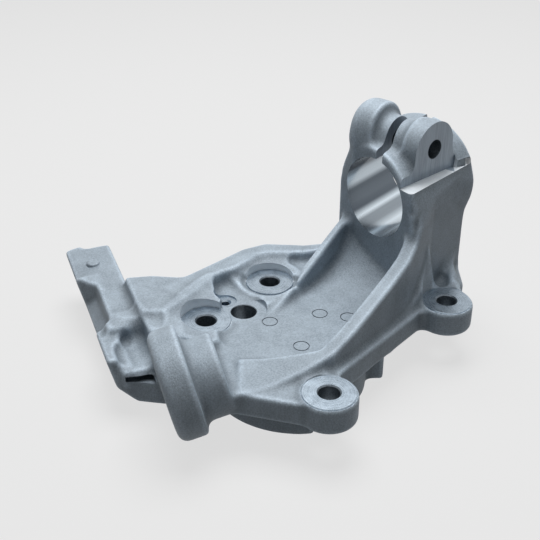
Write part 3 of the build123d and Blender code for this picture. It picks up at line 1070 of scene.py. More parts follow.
@dataclass
class StrutClamp:
    """Split ring round the strut with its pinch bolt ears."""

    reach: Box = ((40, -70, 0), (160, 60, 170))
    bore_r: float = 27.25
    bore_y: float = 1.5
    bore_z: float = 100.0
    bore_start: float = 40.0
    front_x: float = 82.0
    back_x: float = 143.0
    front_r: float = 33.5
    back_r: float = 41.0
    skew: float = 16.0
    slot_y: Place = (-4.0, 2.0)
    slot_margin: float = 2.0
    pinch_x: float = 106.5
    pinch_z: float = 134.0
    pinch_r: float = 6.5
    pinch_end: float = 22.0
    neck_r: float = 15.0
    neck_half: float = 30.0
    ear_r: float = 18.5
    ear_reach: Box = ((60, -50, 100), (140, 0, 165))
    pad_y: float = -26.0
    pad_back_x: float = 125.5
    pad_slant: float = 0.14
    pad_margin: float = 5.0
    step_y: float = -32.4
    step_slant: float = 0.15
    cut_x: Place = (40.0, 170.0)
    cut_y: float = -90.0
    cut_z: float = 190.0
    ledge_z: float = 116.0
    ledge_stock: Box = ((74.0, -36.3, 98.0), (127.0, -27.0, 119.0))
    ledge_reach: Box = ((70, -45, 90), (135, -20, 125))
    trim_reach: Box = ((70, -50, 96), (150, -20, 120))
    trim_start: Place = (79.0, -32.6)
    trim_slant: float = 0.05
    trim_rise: float = 0.33
    lug_room: Box = ((107.0, -80.0, 38.6), (155.0, -36.4, 120.0))
    lug_room_reach: Box = ((104, -80, 36), (156, -36, 80))
    ear_foot: Box = ((88.0, 8.0, 100.0), (125.0, 28.5, 138.0))
    ear_foot_reach: Box = ((75, 5, 95), (140, 45, 150))
    fin: Box = ((127.0, -34.5, 50.5), (107.5, -53.0, 40.0))
    fin_w: float = 3.4
    fin_foot_z: float = 28.0
    fin_reach: Box = ((95, -65, 25), (140, -20, 60))
    rib_head: Plan = ((60.0, 60.0), (60.0, 74.5), (66.0, 79.0), (70.5, 84.0), (73.5, 91.0), (78.0, 98.0),
                      (84.0, 103.5), (92.0, 109.0), (97.0, 114.0), (99.0, 119.0), (99.0, 60.0))
    rib_start: Place = (60.0, -43.5)
    rib_lean: float = 0.1944
    rib_w: float = 10.5
    rib_reach: Box = ((52, -52, 52), (108, -20, 126))
    side: Plan = ((88.0, 26.0), (88.0, 104.0), (97.0, 112.0), (99.0, 119.0), (138.5, 119.0), (138.5, 26.0))
    side_y: Place = (-36.3, -15.0)
    side_taper: Place = (98.0, 0.2)
    side_reach: Box = ((80, -45, 20), (145, -10, 126))

    def shape(self, metal: CastField) -> None:
        """Clears the rear lug, adds the ear's foot, fin, rib's head, side and ledge, and trims the ledge.

        Args:
            metal: Field of the casting, changed in place.
        """
        metal.change(self.lug_room_reach, lambda xyz: box_distance(xyz, *self.lug_room), remove=True)
        metal.change(self.ear_foot_reach, lambda xyz: box_distance(
            xyz, *self.ear_foot, 7.0), blend=6.0)
        metal.change(self.fin_reach, lambda xyz: wall_distance(
            xyz, *self.fin, self.fin_w, self.fin_foot_z, 1.5), blend=4.0)
        metal.change(self.rib_reach, self.rib)
        metal.change(self.side_reach, self.flat_side)
        metal.change(self.ledge_reach, lambda xyz: box_distance(
            xyz, *self.ledge_stock, 1.0), blend=1.0)
        metal.change(self.trim_reach, self.past_ledge, blend=1.0, remove=True)

    def rib(self, xyz: Grids) -> Grid:
        """Distance to the head of the caliper rib, a slab in X and Z whose face drifts in Y along X.

        Args:
            xyz: X, Y and Z on the grid.

        Returns:
            Signed distances on the grid.
        """
        x, y, z = xyz
        start_x, start_y = self.rib_start
        inwards = y - start_y - self.rib_lean * (x - start_x)
        return slab_distance((x, z, inwards), self.rib_head, 0.0, self.rib_w, 0.3)

    def flat_side(self, xyz: Grids) -> Grid:
        """Distance to the smooth side below the ledge, a slab in X and Z that dives inwards at its front.

        Args:
            xyz: X, Y and Z on the grid.

        Returns:
            Signed distances on the grid.
        """
        x, y, z = xyz
        start, taper = self.side_taper
        inwards = y - taper * np.maximum(start - x, 0.0)
        return slab_distance((x, z, inwards), self.side, *self.side_y, 0.3)

    def past_ledge(self, xyz: Grids) -> Grid:
        """Distance outside the ledge's outer side, which leans in below the ledge.

        Args:
            xyz: X, Y and Z on the grid.

        Returns:
            Signed distances on the grid.
        """
        x, y, z = xyz
        start_x, start_y = self.trim_start
        below = np.maximum(self.ledge_z - z, 0.0)
        return y - start_y + self.trim_slant * (x - start_x) + self.trim_rise * below

    def front(self, xyz: Grids) -> Grid:
        """Distance in front of the skewed front plane, negative behind it.

        Args:
            xyz: X, Y and Z on the grid.

        Returns:
            Signed distances on the grid.
        """
        x, y, z = xyz
        turn = math.radians(self.skew)
        return (self.front_x - x) * math.cos(turn) + (y - self.bore_y) * math.sin(turn) + 0 * z

    def slot_stock(self, xyz: Grids) -> Grid:
        """Distance to the metal that the slot was cut from: ring and ear necks between two planes.

        Args:
            xyz: X, Y and Z on the grid.

        Returns:
            Signed distances on the grid.
        """
        ring = rod_distance(xyz, (self.front_x, self.bore_y, self.bore_z),
                            (self.back_x, self.bore_y, self.bore_z), self.front_r, self.back_r)
        half = self.neck_half
        neck = rod_distance(xyz, (self.pinch_x, -half, self.pinch_z), (self.pinch_x, half, self.pinch_z),
                            self.neck_r)
        foot = box_distance(xyz, (self.pinch_x - self.neck_r, -half, self.bore_z),
                            (self.pinch_x + self.neck_r, half, self.pinch_z))
        low, high = self.slot_y
        gap = np.abs(xyz[1] - (low + high) / 2) - (high - low) / 2 - self.slot_margin
        stock = np.minimum(np.minimum(ring, neck), foot)
        return np.maximum(np.maximum(stock, gap), self.front(xyz))

    def bore_stock(self, xyz: Grids) -> Grid:
        """Distance to the metal that the bore was cut from, behind the front plane.

        Args:
            xyz: X, Y and Z on the grid.

        Returns:
            Signed distances on the grid.
        """
        bar = rod_distance(xyz, (self.bore_start, self.bore_y, self.bore_z),
                           (self.back_x, self.bore_y, self.bore_z), self.bore_r + PLUG)
        return np.maximum(bar, self.front(xyz))

    def ear_stock(self, xyz: Grids) -> Grid:
        """Distance to the near ear's raw metal: a round bar and the block below it, past the pad's face.

        Args:
            xyz: X, Y and Z on the grid.

        Returns:
            Signed distances on the grid.
        """
        px, pz = self.pinch_x, self.pinch_z
        outer, inner = self.pad_y - self.pad_margin, self.pad_y + self.pad_margin
        bar = rod_distance(xyz, (px, outer, pz), (px, inner, pz), self.ear_r)
        low = (px - self.ear_r, outer, self.ledge_z - 4)
        block = box_distance(xyz, low, (px + self.ear_r, inner, pz))
        return np.minimum(bar, block)

    def tools(self) -> Jobs:
        """Cuts of the bore, slot, pad, ledges and the ring's side.

        Returns:
            Pairs of tool and finish name.
        """
        start_x = 60.0
        length = self.back_x - start_x
        bore = ((-30.0, self.bore_r), (length - 1.0, self.bore_r), (length + 2.0, self.bore_r + 3.0))
        jobs: Jobs = [(TurnedTool("strut_bore", (start_x, self.bore_y, self.bore_z), Axis.X.value, bore,
                                  steps=192), "strut")]
        left, right = self.cut_x
        low, high = self.slot_y
        jobs.append((BlockTool("clamp_slot", (50.0, low, self.bore_z), (right, high, self.cut_z)), "milled"))
        end = self.pad_back_x + 2.5
        pad_y = self.pad_y - 0.6 + self.pad_slant * (self.pinch_x - left)
        # Both ledges, on the ear and on the ring, take the near-white wall finish, which paints light on
        # them.
        for name, depth, clear, finish in (("pad", 0.0, 0.0, "milled"), ("ledge", 0.4, 0.05, "wall")):
            jobs.append((BlockTool(f"ear_{name}", (left, self.cut_y, self.ledge_z - depth),
                                   (end, pad_y - clear, self.cut_z), self.pad_slant), finish))
        for name, depth, clear, finish in (("side", 0.0, 0.0, "face"), ("ledge", 0.4, 0.05, "wall")):
            jobs.append((BlockTool(f"ring_{name}", (end - 0.4, self.cut_y, self.ledge_z - depth),
                                   (right, self.step_y - clear, self.cut_z), self.step_slant), finish))
        return jobs

    def pinch_hole(self) -> TurnedTool:
        """Hole of the pinch bolt, which ends inside the far ear.

        Returns:
            The tool.
        """
        hole = ((-6.0, self.pinch_r), (self.pinch_end - self.pad_y, self.pinch_r))
        mouth = (self.pinch_x, self.pad_y, self.pinch_z)
        return TurnedTool("pinch_hole", mouth, Axis.Y.value, hole, steps=64)


@dataclass
class BallJointBarrel:
    """Barrel of the lower ball joint."""

    centre: Point = (-80.7, 15.0, 38.3)
    turn: float = -34.7
    rise: float = 12.4
    back: float = 18.0
    large_r: float = 34.0
    bore_r: float = 10.0
    bore_depth: float = 30.0

    def axis(self) -> np.ndarray:
        """Unit direction from the open end to the nose."""
        turn, rise = math.radians(self.turn), math.radians(self.rise)
        return np.array([math.cos(rise) * math.cos(turn), math.cos(rise) * math.sin(turn), math.sin(rise)])

    def at(self, along: float) -> Point:
        """Point on the axis."""
        return tuple(np.array(self.centre) + along * self.axis())

    def large_end(self, xyz: Grids) -> Grid:
        """Distance to the large end."""
        return rod_distance(xyz, self.at(-self.back), self.at(0.0), self.large_r, edge=6.0)


@dataclass
class SteeringArm:
    """Cast details of the steering arm, in its own frame: across it and along it."""

    reach: Box = ((-125.0, 10.0, 0.0), (30.0, 210.0, 60.0))
    heading: float = 60.2
    side: float = -122.0
    top_z: float = 42.0
    foot_z: float = 21.0
    step: Box = ((-109.0, 146.0, 10.0), (-77.0, 172.0, 60.0))
    mark: Place = (-106.4, 121.8)
    mark_boss: Plan = ((-3.0, 4.6), (0.2, 4.6), (0.8, 4.0), (0.8, 2.6), (0.45, 2.0))
    pad_side: float = -114.0
    pad: Box = ((-127.0, 30.0, 37.0), (-114.0, 47.5, 60.0))
    web: Plan = ((-116.5, 11.1), (-108.4, 24.0), (-96.5, 33.0), (-90.0, 30.0), (-90.0, 2.5), (-95.5, 2.5),
                 (-111.7, 1.6))
    web_z: float = 30.5
    bridge: Plan = ((-104.0, 41.0), (-97.5, 40.0), (-91.8, 32.5), (-90.5, 22.0), (-72.0, 10.0), (-70.0, 24.0),
                    (-76.0, 40.0), (-89.6, 47.0), (-104.0, 47.0))
    bridge_z: float = 44.0
    corner: Plan = ((-121.0, 104.0), (-108.0, 104.0), (-108.0, 84.0), (-111.0, 88.0))
    hollow_foot: Plan = ((-114.6, 11.9), (-108.4, 23.9), (-96.5, 32.7), (-92.6, 29.6))
    hollow_top: Plan = ((-114.0, 52.0), (-103.0, 42.0), (-97.8, 40.0), (-92.2, 33.5))
    hollow_root: float = 0.45
    hollow_side: float = -91.5
    hollow_ends: Place = (-1.0, 53.0)
    slot: Box = ((-111.5, -12.0, 24.0), (-94.5, 5.5, 27.5))

    def frame(self, xyz: Grids) -> Grids:
        """Distances across and along the arm, and the height.

        Args:
            xyz: X, Y and Z on the grid.

        Returns:
            The two distances and the height, on the grid.
        """
        x, y, z = xyz
        c, s = math.cos(math.radians(self.heading)), math.sin(math.radians(self.heading))
        return x * s - y * c, x * c + y * s, z

    def plan(self, across: float, along: float) -> Place:
        """Plan place from distances across and along the arm."""
        c, s = math.cos(math.radians(self.heading)), math.sin(math.radians(self.heading))
        return along * c + across * s, along * s - across * c

    def outline(self, points: Plan) -> Plan:
        """Plan outline of points given across and along the arm."""
        return tuple(self.plan(*p) for p in points)

    def block(self, box: Box, edge: float) -> Shape:
        """Function that gives the distance to a box in the arm's frame."""
        return lambda xyz: box_distance(self.frame(xyz), *box, edge)

    def slab(self, points: Plan, bottom: float, top: float, edge: float) -> Shape:
        """Function that gives the distance to a slab whose outline is in the arm's frame."""
        return lambda xyz: slab_distance(xyz, self.outline(points), bottom, top, edge)

    def shape(self, metal: CastField, barrel: BallJointBarrel) -> None:
        """Gives the arm its stepped end, sloping outer edge, scoop and the hollow beside the barrel.

        Args:
            metal: Field of the casting, changed in place.
            barrel: Barrel that the hollow stays clear of.
        """
        metal.change(self.reach, self.block(self.step, 5.0), blend=5.0, remove=True)
        metal.change(self.reach, self.outer_slope, blend=4.0, remove=True)
        metal.change(self.reach, self.slab(self.corner, self.foot_z, self.top_z - 0.5, 1.0), blend=5.0)
        metal.change(self.reach, self.scoop, blend=2.0, remove=True)
        metal.change(self.reach, self.slab(self.bridge, 22.0, self.bridge_z, 1.5), blend=7.0)
        metal.change(self.reach, self.slab(self.web, 20.0, self.web_z, 1.0), blend=2.0)
        metal.change(self.reach, lambda xyz: np.maximum(
            self.hollow(xyz), 0.5 - barrel.large_end(xyz)), blend=1.5, remove=True)
        metal.change(self.reach, self.block(self.pad, 0.0), remove=True)
        metal.change(self.reach, self.undercut, blend=1.5, remove=True)

    def outer_slope(self, xyz: Grids) -> Grid:
        """Distance above the slope of 0.28 over the outermost 12, from 102 along the arm onwards.

        Args:
            xyz: X, Y and Z on the grid.

        Returns:
            Signed distances on the grid.
        """
        across, along, z = self.frame(xyz)
        above = (self.top_z - z - 0.28 * (self.side + 12.0 - across)) / 1.04
        return np.maximum(above, 102.0 - along)

    def scoop(self, xyz: Grids) -> Grid:
        """Distance to the hollow above a slope of 1.3 on the arm's outer edge, negative above the slope.

        Its far end is slanted in plan by 1.2 along the arm for each millimetre across it. Each slope
        is divided by the length of its normal, so that it counts as a distance.

        Args:
            xyz: X, Y and Z on the grid.

        Returns:
            Signed distances on the grid.
        """
        across, along, z = self.frame(xyz)
        above = (self.foot_z + 1.3 * (across - self.side - 2.0) - z) / 1.64
        end = (along + 1.2 * (across - self.side) - 104.0) / 1.56
        return np.maximum(np.maximum(above, across - self.side - 11.5), np.maximum(47.0 - along, end))

    def hollow(self, xyz: Grids) -> Grid:
        """Distance to the hollow at the arm's end, whose floor climbs from the web to the arm's top.

        The climb is a root of the share of the way from the foot line to the top line, which both
        depend on the distance across the arm.

        Args:
            xyz: X, Y and Z on the grid.

        Returns:
            Signed distances on the grid.
        """
        across, along, z = self.frame(xyz)
        foot = np.interp(across, *zip(*self.hollow_foot))
        top = np.interp(across, *zip(*self.hollow_top))
        climb = np.clip((along - foot) / (top - foot), 0.0, 1.0) ** self.hollow_root
        above = (self.web_z + (self.top_z + 0.5 - self.web_z) * climb - z) * 0.7
        first, last = self.hollow_ends
        ends = np.maximum(along - last, first - along)
        sides = np.maximum(self.pad_side - across, across - self.hollow_side)
        return np.maximum(np.maximum(above, sides), ends)

    def undercut(self, xyz: Grids) -> Grid:
        """Distance to the air beside the arm, whose outer side leans inwards, and under its end.

        The underside rises by 0.8 for each millimetre across, over the first 34 along the arm.

        Args:
            xyz: X, Y and Z on the grid.

        Returns:
            Signed distances on the grid.
        """
        across, along, z = self.frame(xyz)
        beside = across - self.side - 0.25 * np.maximum(self.top_z - 2.0 - z, 0.0)
        under = np.maximum((z - 8.0 - 0.8 * (-105.0 - across)) / 1.28, along - 34.0)
        return np.minimum(beside, under)

    def boss(self) -> TurnedTool:
        """Small round mark on the arm's top."""
        place = (*self.plan(*self.mark), self.top_z)
        return TurnedTool("arm_mark", place, Axis.Z.value, self.mark_boss, Cut.ADD, steps=48)


@dataclass
class Casting:
    """The whole casting: rounded cast body, machined features and their finishes.

    Args:
        pitch: Grid spacing of the distance field.
        band: Farthest distance kept, in grid steps.
        room: Free space round the casting in the grid.
        inner: Radius in the cast inward corners.
        outer: Radius on the cast outward corners.
        share: Share of the facets that is kept.
        below: Height down to which the stock of the hub seat and its holes reaches.
        hub: Interface to the wheel bearing.
        lugs: Interface to the caliper.
        clamp: Interface to the strut.
        barrel: Interface to the lower ball joint.
        arm: Steering arm.
    """

    pitch: float = 0.7
    band: float = 8.0
    room: float = 14.0
    inner: float = 3.8
    outer: float = 1.2
    share: float = 0.25
    below: float = -5.0
    hub: HubInterface = field(default_factory=HubInterface)
    lugs: Lugs = field(default_factory=Lugs)
    clamp: StrutClamp = field(default_factory=StrutClamp)
    barrel: BallJointBarrel = field(default_factory=BallJointBarrel)
    arm: SteeringArm = field(default_factory=SteeringArm)

    def stock(self, node: bpy.types.Object) -> CastField:
        """Field of the raw casting, with every machined hole filled.

        Args:
            node: The CAD node.

        Returns:
            The field.
        """
        metal = CastField.from_node(node, self.pitch, self.band, self.room)
        self._lower_seat(metal)
        hub, lugs, clamp, barrel = self.hub, self.lugs, self.clamp, self.barrel
        upright = [(0, 0, self.below, hub.recess_z, hub.recess_r)]
        upright += [(*p, self.below, hub.spot_z - 2, hub.bolt_r) for p in hub.bolts()]
        upright += [(*p, self.below, hub.blind_depth, hub.blind_r) for p in hub.blind()]
        upright += [(*hub.sensor, self.below, hub.sensor_z, hub.sensor_r), (*hub.screw, 20, 38, hub.screw_r)]
        upright += [(*p, lugs.bottom, lugs.spot_z - 1, lugs.bolt_r) for p in lugs.places]
        for x, y, bottom, top, radius in upright:
            self._fill_rod(metal, (x, y, bottom), (x, y, top), radius + PLUG)
        self._fill_rod(metal, barrel.at(-barrel.back), barrel.at(barrel.bore_depth - barrel.back + 1),
                       barrel.bore_r + PLUG)
        x, z = clamp.pinch_x, clamp.pinch_z
        self._fill_rod(metal, (x, clamp.pad_y - clamp.pad_margin, z), (x, clamp.pinch_end + 1, z),
                       clamp.pinch_r + PLUG)
        metal.change(clamp.reach, clamp.bore_stock)
        metal.change(clamp.reach, clamp.slot_stock)
        metal.change(clamp.ear_reach, clamp.ear_stock)
        clamp.shape(metal)
        self.arm.shape(metal, barrel)
        hub.shape(metal)
        return metal

    def _lower_seat(self, metal: CastField) -> None:
        """Extends the hub seat's stock below its machined plane by copying its lowest layer.

        Args:
            metal: Field of the casting, changed in place.
        """
        first = int(round((1.0 - metal.low[2]) / metal.pitch))
        below = int(round((self.below - metal.low[2]) / metal.pitch))
        layer = metal.values[:, :, first]
        metal.values[:, :, below:first] = layer[:, :, None]

    def _fill_rod(self, metal: CastField, start: Point, end: Point, radius: float) -> None:
        """Fills a round hole.

        Args:
            metal: Field of the casting, changed in place.
            start: Centre of one end.
            end: Centre of the other end.
            radius: Radius of the filling.
        """
        low = tuple(min(a, b) - radius - 2 for a, b in zip(start, end))
        high = tuple(max(a, b) + radius + 2 for a, b in zip(start, end))
        metal.change((low, high), lambda xyz: rod_distance(xyz, start, end, radius))

    def tools(self) -> Jobs:
        """Every machining cut in order, with the finish that it leaves.

        Returns:
            Pairs of tool and finish name.
        """
        hub, lugs, clamp, barrel = self.hub, self.lugs, self.clamp, self.barrel
        up = Axis.Z.value
        jobs: Jobs = [
            (BlockTool("seat_face", (-120.0, -100.0, -20.0), (160.0, 200.0, 0.0)), "turned"),
            (TurnedTool("recess", (0, 0, 0), up, bored(hub.recess_r, hub.recess_z, 1.0), steps=128), "bored"),
            (TurnedTool("sensor_flat", (*hub.sensor, hub.flat_z), up, hub.sensor_flat), "face"),
        ]
        spots = [(*p, hub.spot_z) for p in hub.bolts()] + [(*p, lugs.spot_z) for p in lugs.places]
        clear = ((-0.8, hub.spot_r + 0.3), (30.0, hub.spot_r + 0.3))
        disk = ((-4.5, hub.spot_r - 0.5), (-4.0, hub.spot_r), (-0.3, hub.spot_r), (0.0, hub.spot_r - 0.3))
        hole = ((-60.0, hub.bolt_r), (-0.8, hub.bolt_r), (1.0, hub.bolt_r + 1.8))
        for number, place in enumerate(spots):
            # The walls round the hub's spot faces take the near-white wall finish, which paints light on
            # them.
            wall = "wall" if number < len(hub.angles) else "cast"
            jobs.append((TurnedTool(f"spot_clear_{number}", place, up, clear), wall))
            jobs.append((TurnedTool(f"spot_{number}", place, up, disk, Cut.ADD), "turned"))
            jobs.append((TurnedTool(f"bolt_hole_{number}", place, up, hole, steps=64), "hole_shade"))
        jobs += hub.tools()
        jobs.append((self.arm.boss(), "cast"))
        jobs += clamp.tools()
        jobs.append((BlockTool("arm_slot", *self.arm.slot, turn=self.arm.heading - 90.0), "hole_shade"))
        jobs.append((clamp.pinch_hole(), "hole_shade"))
        jobs.append((TurnedTool("joint_bore", barrel.at(-barrel.back), tuple(barrel.axis()),
                                bored(barrel.bore_r, barrel.bore_depth, 1.0), steps=64), "bored"))
        return jobs

    def build(self, node: bpy.types.Object, finishes: dict[str, bpy.types.Material]) -> bpy.types.Object:
        """Builds the finished casting.

        Args:
            node: The CAD node that it stands for.
            finishes: Materials by finish name, the cast one first.

        Returns:
            The casting's object.
        """
        metal = self.stock(node)
        log.info("distance field %s", metal.values.shape)
        points, triangles, quads = metal.roll(self.inner, self.outer)
        body = new_object("casting", points, triangles.tolist() + quads.tolist())
        fewer = body.modifiers.new("fewer", "DECIMATE")
        fewer.ratio = self.share
        apply_modifiers(body)
        log.info("rounded body with %d facets", len(body.data.polygons))
        names = list(finishes)
        for material in finishes.values():
            body.data.materials.append(material)
        made = []
        for tool, finish in self.tools():
            cutter = tool.mesh()
            for material in finishes.values():
                cutter.data.materials.append(material)
            numbers = np.full(len(cutter.data.polygons), names.index(finish), np.int32)
            cutter.data.polygons.foreach_set("material_index", numbers)
            cut = body.modifiers.new(tool.name, "BOOLEAN")
            cut.operation = tool.cut.value
            cut.solver = "MANIFOLD"
            cut.object = cutter
            made.append(cutter)
        apply_modifiers(body)
        for cutter in made:
            bpy.data.objects.remove(cutter)
        crease(body)
        # The field's curvature at each corner of the mesh drives the painted edge highlight and corner shade
        # of the cast finish.
        corners = np.empty(len(body.data.vertices) * 3, np.float32)
        body.data.vertices.foreach_get("co", corners)
        bend = metal.bend(corners.reshape(-1, 3) / MM)
        edge = body.data.attributes.new(MetalFinish.EDGE, "FLOAT", "POINT")
        edge.data.foreach_set("value", np.clip(0.5 + bend, 0.0, 1.0).astype(np.float32))
        log.info("machined casting with %d facets", len(body.data.polygons))
        return body


def bored(radius: float, depth: float, chamfer: float) -> Plan:
    """Profile of a blind hole from its mouth, with a chamfer that widens outside the metal."""
    return ((-2.0, radius + chamfer + 2.0), (chamfer, radius), (depth, radius))


def crease(obj: bpy.types.Object, limit: float = 28.0) -> None:
    """Shades an object smooth, with hard edges where a machined face meets another face.

    An edge is hard where the angle between its two faces is above the limit and at least one of
    them has a machined finish.

    Args:
        obj: The object.
        limit: Angle in degrees.
    """
    mesh = obj.data
    count = len(mesh.polygons)
    totals = np.empty(count, np.int32)
    mesh.polygons.foreach_get("loop_total", totals)
    normals = np.empty(count * 3, np.float32)
    mesh.polygons.foreach_get("normal", normals)
    finish = np.empty(count, np.int32)
    mesh.polygons.foreach_get("material_index", finish)
    edges = np.empty(len(mesh.loops), np.int32)
    mesh.loops.foreach_get("edge_index", edges)
    owner = np.repeat(np.arange(count), totals)
    order = np.argsort(edges, kind="stable")
    edges, owner = edges[order], owner[order]
    pair = np.flatnonzero(edges[1:] == edges[:-1])
    first, second = owner[pair], owner[pair + 1]
    normals = normals.reshape(-1, 3)
    turn = np.einsum("ij,ij->i", normals[first], normals[second])
    hard = (turn < math.cos(math.radians(limit))) & ((finish[first] > 0) | (finish[second] > 0))
    sharp = np.zeros(len(mesh.edges), bool)
    sharp[edges[pair[hard]]] = True
    mesh.polygons.foreach_set("use_smooth", np.full(count, True))
    marks = mesh.attributes.get("sharp_edge") or mesh.attributes.new("sharp_edge", "BOOLEAN", "EDGE")
    marks.data.foreach_set("value", sharp)
    mesh.update()


# Camera and studio


@dataclass(frozen=True)
class PhotoCamera:
    """Camera at the photograph's viewing angle, in millimetres."""

    place: Point = (-395.8, -309.7, 376.4)
    ahead: Point = (0.6607, 0.5544, -0.5060)
    above: Point = (0.3876, 0.3253, 0.8625)
    lens: float = 63.33
    sensor: float = 36.0

    def build(self) -> bpy.types.Object:
        """Makes the camera and gives it to the scene.

        Returns:
            The camera.
        """
        data = bpy.data.cameras.new("camera")
        data.lens = self.lens
        data.sensor_width = self.sensor
        data.clip_start = 0.01
        made = bpy.data.objects.new("camera", data)
        bpy.context.scene.collection.objects.link(made)
        back = -Vector(self.ahead).normalized()
        right = Vector(self.above).cross(back).normalized()
        up = back.cross(right)
        turn = Matrix((right, up, back)).transposed().to_4x4()
        made.matrix_world = Matrix.Translation(Vector(self.place) * MM) @ turn
        bpy.context.scene.camera = made
        return made


@dataclass(frozen=True)
class Studio:
    """Pale floor, pale surroundings and a soft overhead lamp."""

    floor_z: float = -0.4
    floor_size: float = 6000.0
    floor_colour: float = 0.15
    floor_white: float = 0.68
    world_light: float = 0.07
    world_white: float = 0.85
    lamp_place: Point = (260.0, 230.0, 1150.0)
    lamp_target: Point = (10.0, 20.0, 50.0)
    lamp_size: float = 800.0
    lamp_watts: float = 14.0

    def build(self) -> None:
        """Makes the floor, the surroundings and the lamp."""
        half = self.floor_size
        corners = [(a * half, b * half, self.floor_z) for a, b in ((-1, -1), (1, -1), (1, 1), (-1, 1))]
        floor = new_object("floor", np.array(corners), [[0, 1, 2, 3]])
        floor.data.materials.append(self._floor_material())
        self._world()
        self._lamp()
        bpy.context.scene.view_settings.view_transform = "Standard"

    def _direct(self, wiring: Wiring) -> Socket:
        """Socket that is 1 for rays seen by the camera, directly or in a gloss.

        Args:
            wiring: Wiring of the material or world.

        Returns:
            The socket.
        """
        path = wiring.add("ShaderNodeLightPath")
        seen = path.outputs["Is Camera Ray"]
        for name in ("Is Glossy Ray", "Is Transmission Ray"):
            seen = wiring.calculate("MAXIMUM", seen, path.outputs[name])
        return seen

    def _floor_material(self) -> bpy.types.Material:
        """Pale matt floor that shows white to the camera and keeps the shadow.

        Returns:
            The material.
        """
        made = bpy.data.materials.new("floor")
        made.use_nodes = True
        nodes, wiring = made.node_tree.nodes, Wiring(made.node_tree)
        shader = nodes["Principled BSDF"]
        shader.inputs["Base Color"].default_value = (*(self.floor_colour,) * 3, 1.0)
        shader.inputs["Roughness"].default_value = 1.0
        shader.inputs["Specular IOR Level"].default_value = 0.0
        glow = wiring.add("ShaderNodeEmission", Color=(*(self.floor_white,) * 3, 1.0),
                          Strength=self._direct(wiring))
        lift = wiring.add("ShaderNodeAddShader")
        wiring.feed(shader.outputs[0], lift.inputs[0])
        wiring.feed(glow.outputs[0], lift.inputs[1])
        wiring.feed(lift.outputs[0], nodes["Material Output"].inputs["Surface"])
        return made

    def _world(self) -> None:
        """Even pale surroundings, white to the camera."""
        world = bpy.data.worlds.new("surroundings")
        bpy.context.scene.world = world
        world.use_nodes = True
        nodes, wiring = world.node_tree.nodes, Wiring(world.node_tree)
        plain = nodes["Background"]
        plain.inputs["Strength"].default_value = self.world_light
        plain.inputs["Color"].default_value = (1.0, 1.0, 1.0, 1.0)
        white = wiring.add("ShaderNodeBackground", Color=(*(self.world_white,) * 3, 1.0))
        choose = wiring.add("ShaderNodeMixShader")
        for value, target in zip((self._direct(wiring), plain.outputs[0], white.outputs[0]), choose.inputs):
            wiring.feed(value, target)
        wiring.feed(choose.outputs[0], nodes["World Output"].inputs["Surface"])

    def _lamp(self) -> None:
        """Square soft lamp that looks at the middle of the part."""
        data = bpy.data.lights.new("overhead", "AREA")
        data.size = self.lamp_size * MM
        data.energy = self.lamp_watts
        made = bpy.data.objects.new("overhead", data)
        bpy.context.scene.collection.objects.link(made)
        aim = Vector(self.lamp_target) - Vector(self.lamp_place)
        turn = aim.to_track_quat("-Z", "Y").to_matrix().to_4x4()
        made.matrix_world = Matrix.Translation(Vector(self.lamp_place) * MM) @ turn


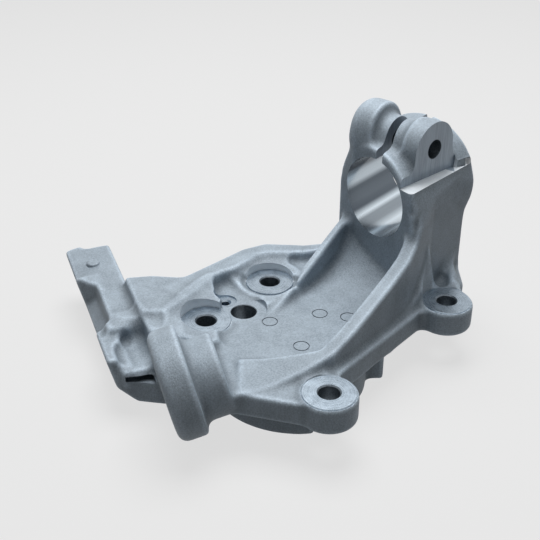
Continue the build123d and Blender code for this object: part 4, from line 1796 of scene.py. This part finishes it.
def metals(casting: Casting) -> dict[str, bpy.types.Material]:
    """Materials of the casting by finish name, the cast one first.

    Args:
        casting: The casting, whose sizes place the rings and the painted reflection bands.

    Returns:
        Materials by finish name.
    """
    centres = tuple(casting.hub.bolts()) + casting.lugs.places
    # The cast skin gets a painted highlight on its outward edges and painted shade in its inward corners.
    cast = MetalFinish("cast_aluminium", dark=(0.265, 0.315, 0.365), light=(0.425, 0.5, 0.57), patch=16.0,
                       grain=1.1, grain_height=0.3, rough=(0.48, 0.6), metallic=0.14, bend_shading=0.75, shine=0.25)
    turned = MetalFinish("turned_aluminium", dark=(0.27, 0.325, 0.38), light=(0.45, 0.53, 0.61), patch=6.0,
                         grain=0.5, grain_height=0.035, rough=(0.24, 0.32), metallic=0.95, rings=centres)
    # Near-white colour on the ledges and the walls round the hub's spot faces: painted light, standing in for
    # lamp light that does not reach them.
    wall = MetalFinish("wall_aluminium_painted_light", dark=(0.74, 0.8, 0.86), light=(0.9, 0.95, 0.98), patch=6.0,
                       grain=0.5, grain_height=0.03, rough=(0.3, 0.4), metallic=0.0)
    # Bores: the wide dark and light streaks along the axis are partly tool marks and partly painted
    # reflections.
    bored_marks_and_reflections = MetalFinish("bored_aluminium_painted_reflections", dark=(0.12, 0.15, 0.19), light=(0.5, 0.6, 0.7), patch=19.0,
                              grain=2.0, grain_height=0.008, rough=(0.14, 0.22), metallic=1.0,
                              streak=Axis.X, grain_share=0.1, detail=2.0)
    # The strut bore's dark and light bands round its axis are painted reflections.
    strut = replace(bored_marks_and_reflections, name="strut_bore", dark=(0.05, 0.065, 0.085), light=(0.82, 0.92, 1.0),
                    centre=(casting.clamp.bore_y, casting.clamp.bore_z), painted_reflection_bands=(
                        (-180.0, 0.2), (-125.0, 0.25), (-104.0, 0.55), (-88.0, 0.95), (-74.0, 0.3),
                        (-60.0, 0.3), (-54.0, 1.0), (-50.0, 0.6), (-44.0, 0.06), (-14.0, 0.02),
                        (-5.0, 0.6), (8.0, 0.5), (18.0, 0.06), (70.0, 0.03), (180.0, 0.2)))
    # Holes, slots and grooves: coloured far darker than bare machined metal, painted shade where they are
    # hollow.
    hole_shade = MetalFinish("drilled_aluminium", dark=(0.10, 0.12, 0.14), light=(0.22, 0.26, 0.30), patch=6.0,
                          grain=1.0, grain_height=0.05, rough=(0.35, 0.5), metallic=0.8)
    milled = MetalFinish("milled_aluminium", dark=(0.22, 0.26, 0.31), light=(0.34, 0.405, 0.47), patch=7.0,
                         grain=0.8, grain_height=0.03, rough=(0.32, 0.42), metallic=0.5, streak=Axis.Z)
    finishes = {"cast": cast, "turned": turned, "bored": bored_marks_and_reflections, "hole_shade": hole_shade, "milled": milled,
                "wall": wall, "face": replace(cast, name="cast_face", bend_shading=0.0), "strut": strut}
    return {name: finish.material() for name, finish in finishes.items()}


def main() -> None:
    """Builds the camera, the studio and the casting, and hands the casting to the frame."""
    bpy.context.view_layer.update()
    PhotoCamera().build()
    Studio().build()
    log.info("camera and studio")
    casting = Casting()
    body = casting.build(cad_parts[NODE], metals(casting))
    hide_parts(NODE)
    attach(body, "root")
    log.info("piece %s", body.name)


if __name__ == "__main__":
    main()
